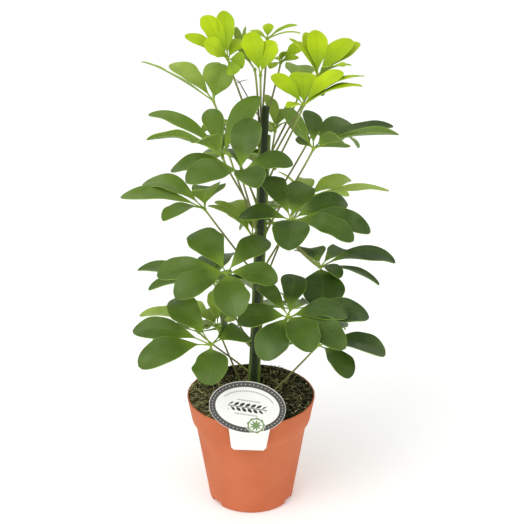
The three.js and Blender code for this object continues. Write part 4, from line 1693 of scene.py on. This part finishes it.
    def fibres(self) -> None:
        """Models the straw-coloured fibres that lie in the peat."""
        wriggle, waves, hump = self.fibre_bend
        ends = np.linspace(-1, 1, self.fibre_points)
        points = np.column_stack([ends, wriggle * np.cos(waves * ends), hump * (1 - ends * ends)])
        fibre = tubes("fibre", [Run(points, np.ones(len(points)))], 0)
        made = self.scatter("peat_fibres", fibre, FIBRES, random.Random(self.seed + 1))
        paint = self.finish.litter("straw_fibre", self.finish.olive, self.finish.straw)
        settle(wear(made, paint), "soil")

    def build(self) -> None:
        """Models the soil and what lies on it."""
        for part in (self.bed, self.crumbs, self.fibres):
            part()


# Label


def away(x: Value, z: Value) -> Value:
    """Gives how far a place is from a middle."""
    return x.sheet.math("SQRT", x * x + z * z)


@dataclass(frozen=True)
class Spot:
    """A place on the label: across and up from its middle, in from its edge, and its direction."""

    x: Value
    z: Value
    depth: Value
    angle: Value


@dataclass(frozen=True)
class LabelPrint:
    """What is printed on the label: a dotted border, a leafy sprig, fine ticks and a rosette."""

    centre: Point = (-2.9 * MM, -61 * MM, 127.2 * MM)
    half_width: float = 35 * MM
    half_height: float = 26.5 * MM
    turn: float = 9.5
    face: Pair = (-0.4 * MM, -0.6 * MM)
    least_out: float = 0.05
    border: float = 5.5 * MM
    rim_line: float = 0.2 * MM
    soft: float = 0.3 * MM
    dots: int = 52
    dot_radius: float = 0.55 * MM
    sprig_reach: float = 18 * MM
    sprig_lift: float = -0.4 * MM
    sprig_taper: float = 4.0
    leaf_step: float = 5.2 * MM
    leaf_lean: float = 38.0
    leaf_out: float = 2.6 * MM
    leaf_length: float = 3.0 * MM
    leaf_width: float = 1.5 * MM
    stem_width: float = 0.4 * MM
    tick_depth: float = 9.8 * MM
    tick_height: float = 0.65 * MM
    tick_edge: Pair = (0.34, 0.22)
    ticks: int = 84
    tick_from: float = 24.0
    tick_to: float = 156.0
    row_place: float = 7.2 * MM
    row_reach: float = 10.5 * MM
    row_step: float = 1.5 * MM
    row_edge: Pair = (0.36, 0.24)
    rosette_place: Pair = (10.6 * MM, -17.4 * MM)
    rosette_radius: float = 8.6 * MM
    rosette_lobes: int = 9
    rosette_rings: tuple[Pair, ...] = ((0.0, 0.06), (0.5 * MM, 0.06), (2.2 * MM, 0.0), (4.2 * MM, 0.3))
    white: Colour = shade(234, 234, 230)
    ink: Colour = shade(72, 70, 66)
    bold: Colour = shade(44, 40, 38)
    faint: Colour = shade(136, 134, 130)
    green: Colour = shade(112, 140, 84)
    roughness: float = 0.35
    coat: float = 0.2
    grain: Pair = (0.1 * MM, 0.2)

    def within(self, value: Value, reach: float) -> Value:
        """Masks where a value is within a reach of 0."""
        return abs(value).span(reach + self.soft / 2, reach - self.soft / 2)

    def border_masks(self, at: Spot) -> list[Value]:
        """Draws the border round the label and the dots in it.

        Args:
            at: The place.

        Returns:
            The masks of the border and of the dots.
        """
        ring = at.depth.span(self.rim_line, self.rim_line + self.soft)
        ring *= at.depth.span(self.border + self.soft, self.border)
        lap = TURN * math.sqrt((self.half_width**2 + self.half_height**2) / 2)
        slide = (at.angle * (self.dots / TURN)).beat() * (lap / self.dots)
        off = away(slide, at.depth - (self.border + self.rim_line) / 2)
        return [ring, off.span(self.dot_radius, self.dot_radius - self.soft)]

    def tick_masks(self, at: Spot) -> list[Value]:
        """Draws the fine ticks.

        Args:
            at: The place.

        Returns:
            The masks of the arc and of the two rows.
        """
        arc = abs((at.angle * (self.ticks / TURN)).beat()).span(*self.tick_edge)
        arc *= self.within(at.depth - self.tick_depth, self.tick_height)
        arc *= (at.angle > math.radians(self.tick_from)) * (at.angle < math.radians(self.tick_to))
        row = abs((at.x / self.row_step).beat()).span(*self.row_edge)
        row *= self.within(abs(at.z - self.sprig_lift) - self.row_place, self.tick_height)
        return [arc, row * self.within(at.x, self.row_reach)]

    def sprig(self, at: Spot) -> Value:
        """Draws a level stem with slanted leaves above and below it.

        Args:
            at: The place.

        Returns:
            The mask.
        """
        high = at.z - self.sprig_lift
        size = (1.0 - abs(at.x / self.sprig_reach) ** self.sprig_taper).at_least(0.0)
        across = (at.x / self.leaf_step + (high > 0.0) * 0.5).beat() * self.leaf_step
        up = abs(high) - self.leaf_out
        cosine, sine = math.cos(math.radians(self.leaf_lean)), math.sin(math.radians(self.leaf_lean))
        run = (across * cosine + up * sine) / self.leaf_length
        edge = (1.0 - run * run) * size * self.leaf_width - abs(up * cosine - across * sine)
        stem = self.within(high, self.stem_width) * self.within(at.x, self.sprig_reach)
        return edge.span(-self.soft / 2, self.soft / 2).at_least(stem)

    def rosette(self, at: Spot, radius: float, wave: float) -> Value:
        """Draws a filled round shape with a lobed edge.

        Args:
            at: The place.
            radius: The shape's mean radius.
            wave: How deep the lobes are, as a share of the radius.

        Returns:
            The mask.
        """
        x, z = at.x - self.rosette_place[0], at.z - self.rosette_place[1]
        lobes = x.sheet.math("COSINE", x.arctan2(z) * self.rosette_lobes)
        return (lobes * (wave * radius) + radius - away(x, z)).span(0.0, self.soft)

    def paint(self) -> bpy.types.Material:
        """Makes the label's printed finish.

        Returns:
            The material.
        """
        sheet = new_sheet("printed_label")
        feeds = {"Vector": sheet.place(), "Center": self.centre, "Angle": -math.radians(self.turn)}
        turned = sheet.add("ShaderNodeVectorRotate", feeds, rotation_type="Y_AXIS")
        across, deep, up = sheet.split(Value(sheet, turned.outputs[0]))
        x, z = across - self.centre[0], up - self.centre[2]
        front = deep.span(*(self.centre[1] + step for step in self.face))
        wide, high = x / self.half_width, z / self.half_height
        out = away(wide, high)
        steep = away(wide / self.half_width, high / self.half_height) / out.at_least(self.least_out)
        at = Spot(x, z, (1.0 - out) / steep, high.arctan2(wide))
        masks = [*self.border_masks(at), *self.tick_masks(at), self.sprig(at)]
        masks += [self.rosette(at, self.rosette_radius - inset, wave) for inset, wave in self.rosette_rings]
        inks = (self.ink, self.white, self.faint, self.faint, self.bold, *(self.white, self.green) * 2)
        body = self.white
        for mask, ink in zip(masks, inks):
            body = sheet.mix(mask * front, body, ink)
        return sheet.surface(body, self.roughness, sheet.grain(*self.grain), self.coat)

    def build(self) -> None:
        """Dresses the label's own solid."""
        wear(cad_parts["label"], self.paint())
        LOG.info("label: printed")


# Studio


@dataclass(frozen=True)
class Studio:
    """The pale floor, the soft lights and the camera of the photograph."""

    camera_place: Point = (0.0103, -1.749, 1.074)
    camera_pitch: float = 25.39
    lens: float = 146.06
    sensor: float = 36.0
    floor_size: float = 14.0
    floor_colour: Colour = shade(250, 250, 249)
    floor_roughness: float = 0.9
    glow: float = 0.14
    sky: float = 0.84
    aim: Point = (0, 0, 0.25)
    lights: tuple[tuple[str, Point, float, float], ...] = (
        ("key_light", (-0.8, -1.1, 1.8), 1.3, 20.0), ("fill_light", (1.2, -0.9, 1.0), 1.2, 2.5)
    )

    def area(self, name: str, place: Point, size: float, power: float) -> None:
        """Hangs a square soft light that faces the plant.

        Args:
            name: The light's name.
            place: Where it hangs.
            size: Its side.
            power: Its power in watts.
        """
        lamp = bpy.data.lights.new(name, "AREA")
        lamp.shape, lamp.size, lamp.energy = "SQUARE", size, power
        holder = link(name, lamp)
        holder.location = place
        holder.rotation_euler = (Vector(self.aim) - Vector(place)).to_track_quat("-Z", "Y").to_euler()

    def build(self) -> None:
        """Sets the stage."""
        floor = fresh(bpy.ops.mesh.primitive_plane_add, size=self.floor_size, location=(0, 0, 0))
        floor.name = "studio_floor"
        paint = new_sheet("pale_floor").surface(self.floor_colour, self.floor_roughness, glow=self.glow)
        wear(floor, paint)
        world = bpy.data.worlds.new("soft_room")
        world.use_nodes = True
        backdrop = world.node_tree.nodes["Background"]
        backdrop.inputs["Color"].default_value = WHITE
        backdrop.inputs["Strength"].default_value = self.sky
        for light in self.lights:
            self.area(*light)
        lens = bpy.data.cameras.new("camera")
        lens.lens, lens.sensor_width = self.lens, self.sensor
        camera = link("camera", lens)
        camera.location = self.camera_place
        camera.rotation_euler = (math.radians(90 - self.camera_pitch), 0, 0)
        scene = bpy.context.scene
        scene.world, scene.camera = world, camera
        scene.view_settings.view_transform = "Standard"


def main() -> None:
    """Builds the plant piece by piece."""
    logging.basicConfig(level=logging.INFO, format="%(name)s %(message)s")
    Studio().build()
    plastics = PlasticPaint()
    Pot().build(plastics)
    Soil().build()
    STAKE.build(plastics)
    LabelPrint().build()
    Crown().build(plastics)


if __name__ == "__main__":
    main()
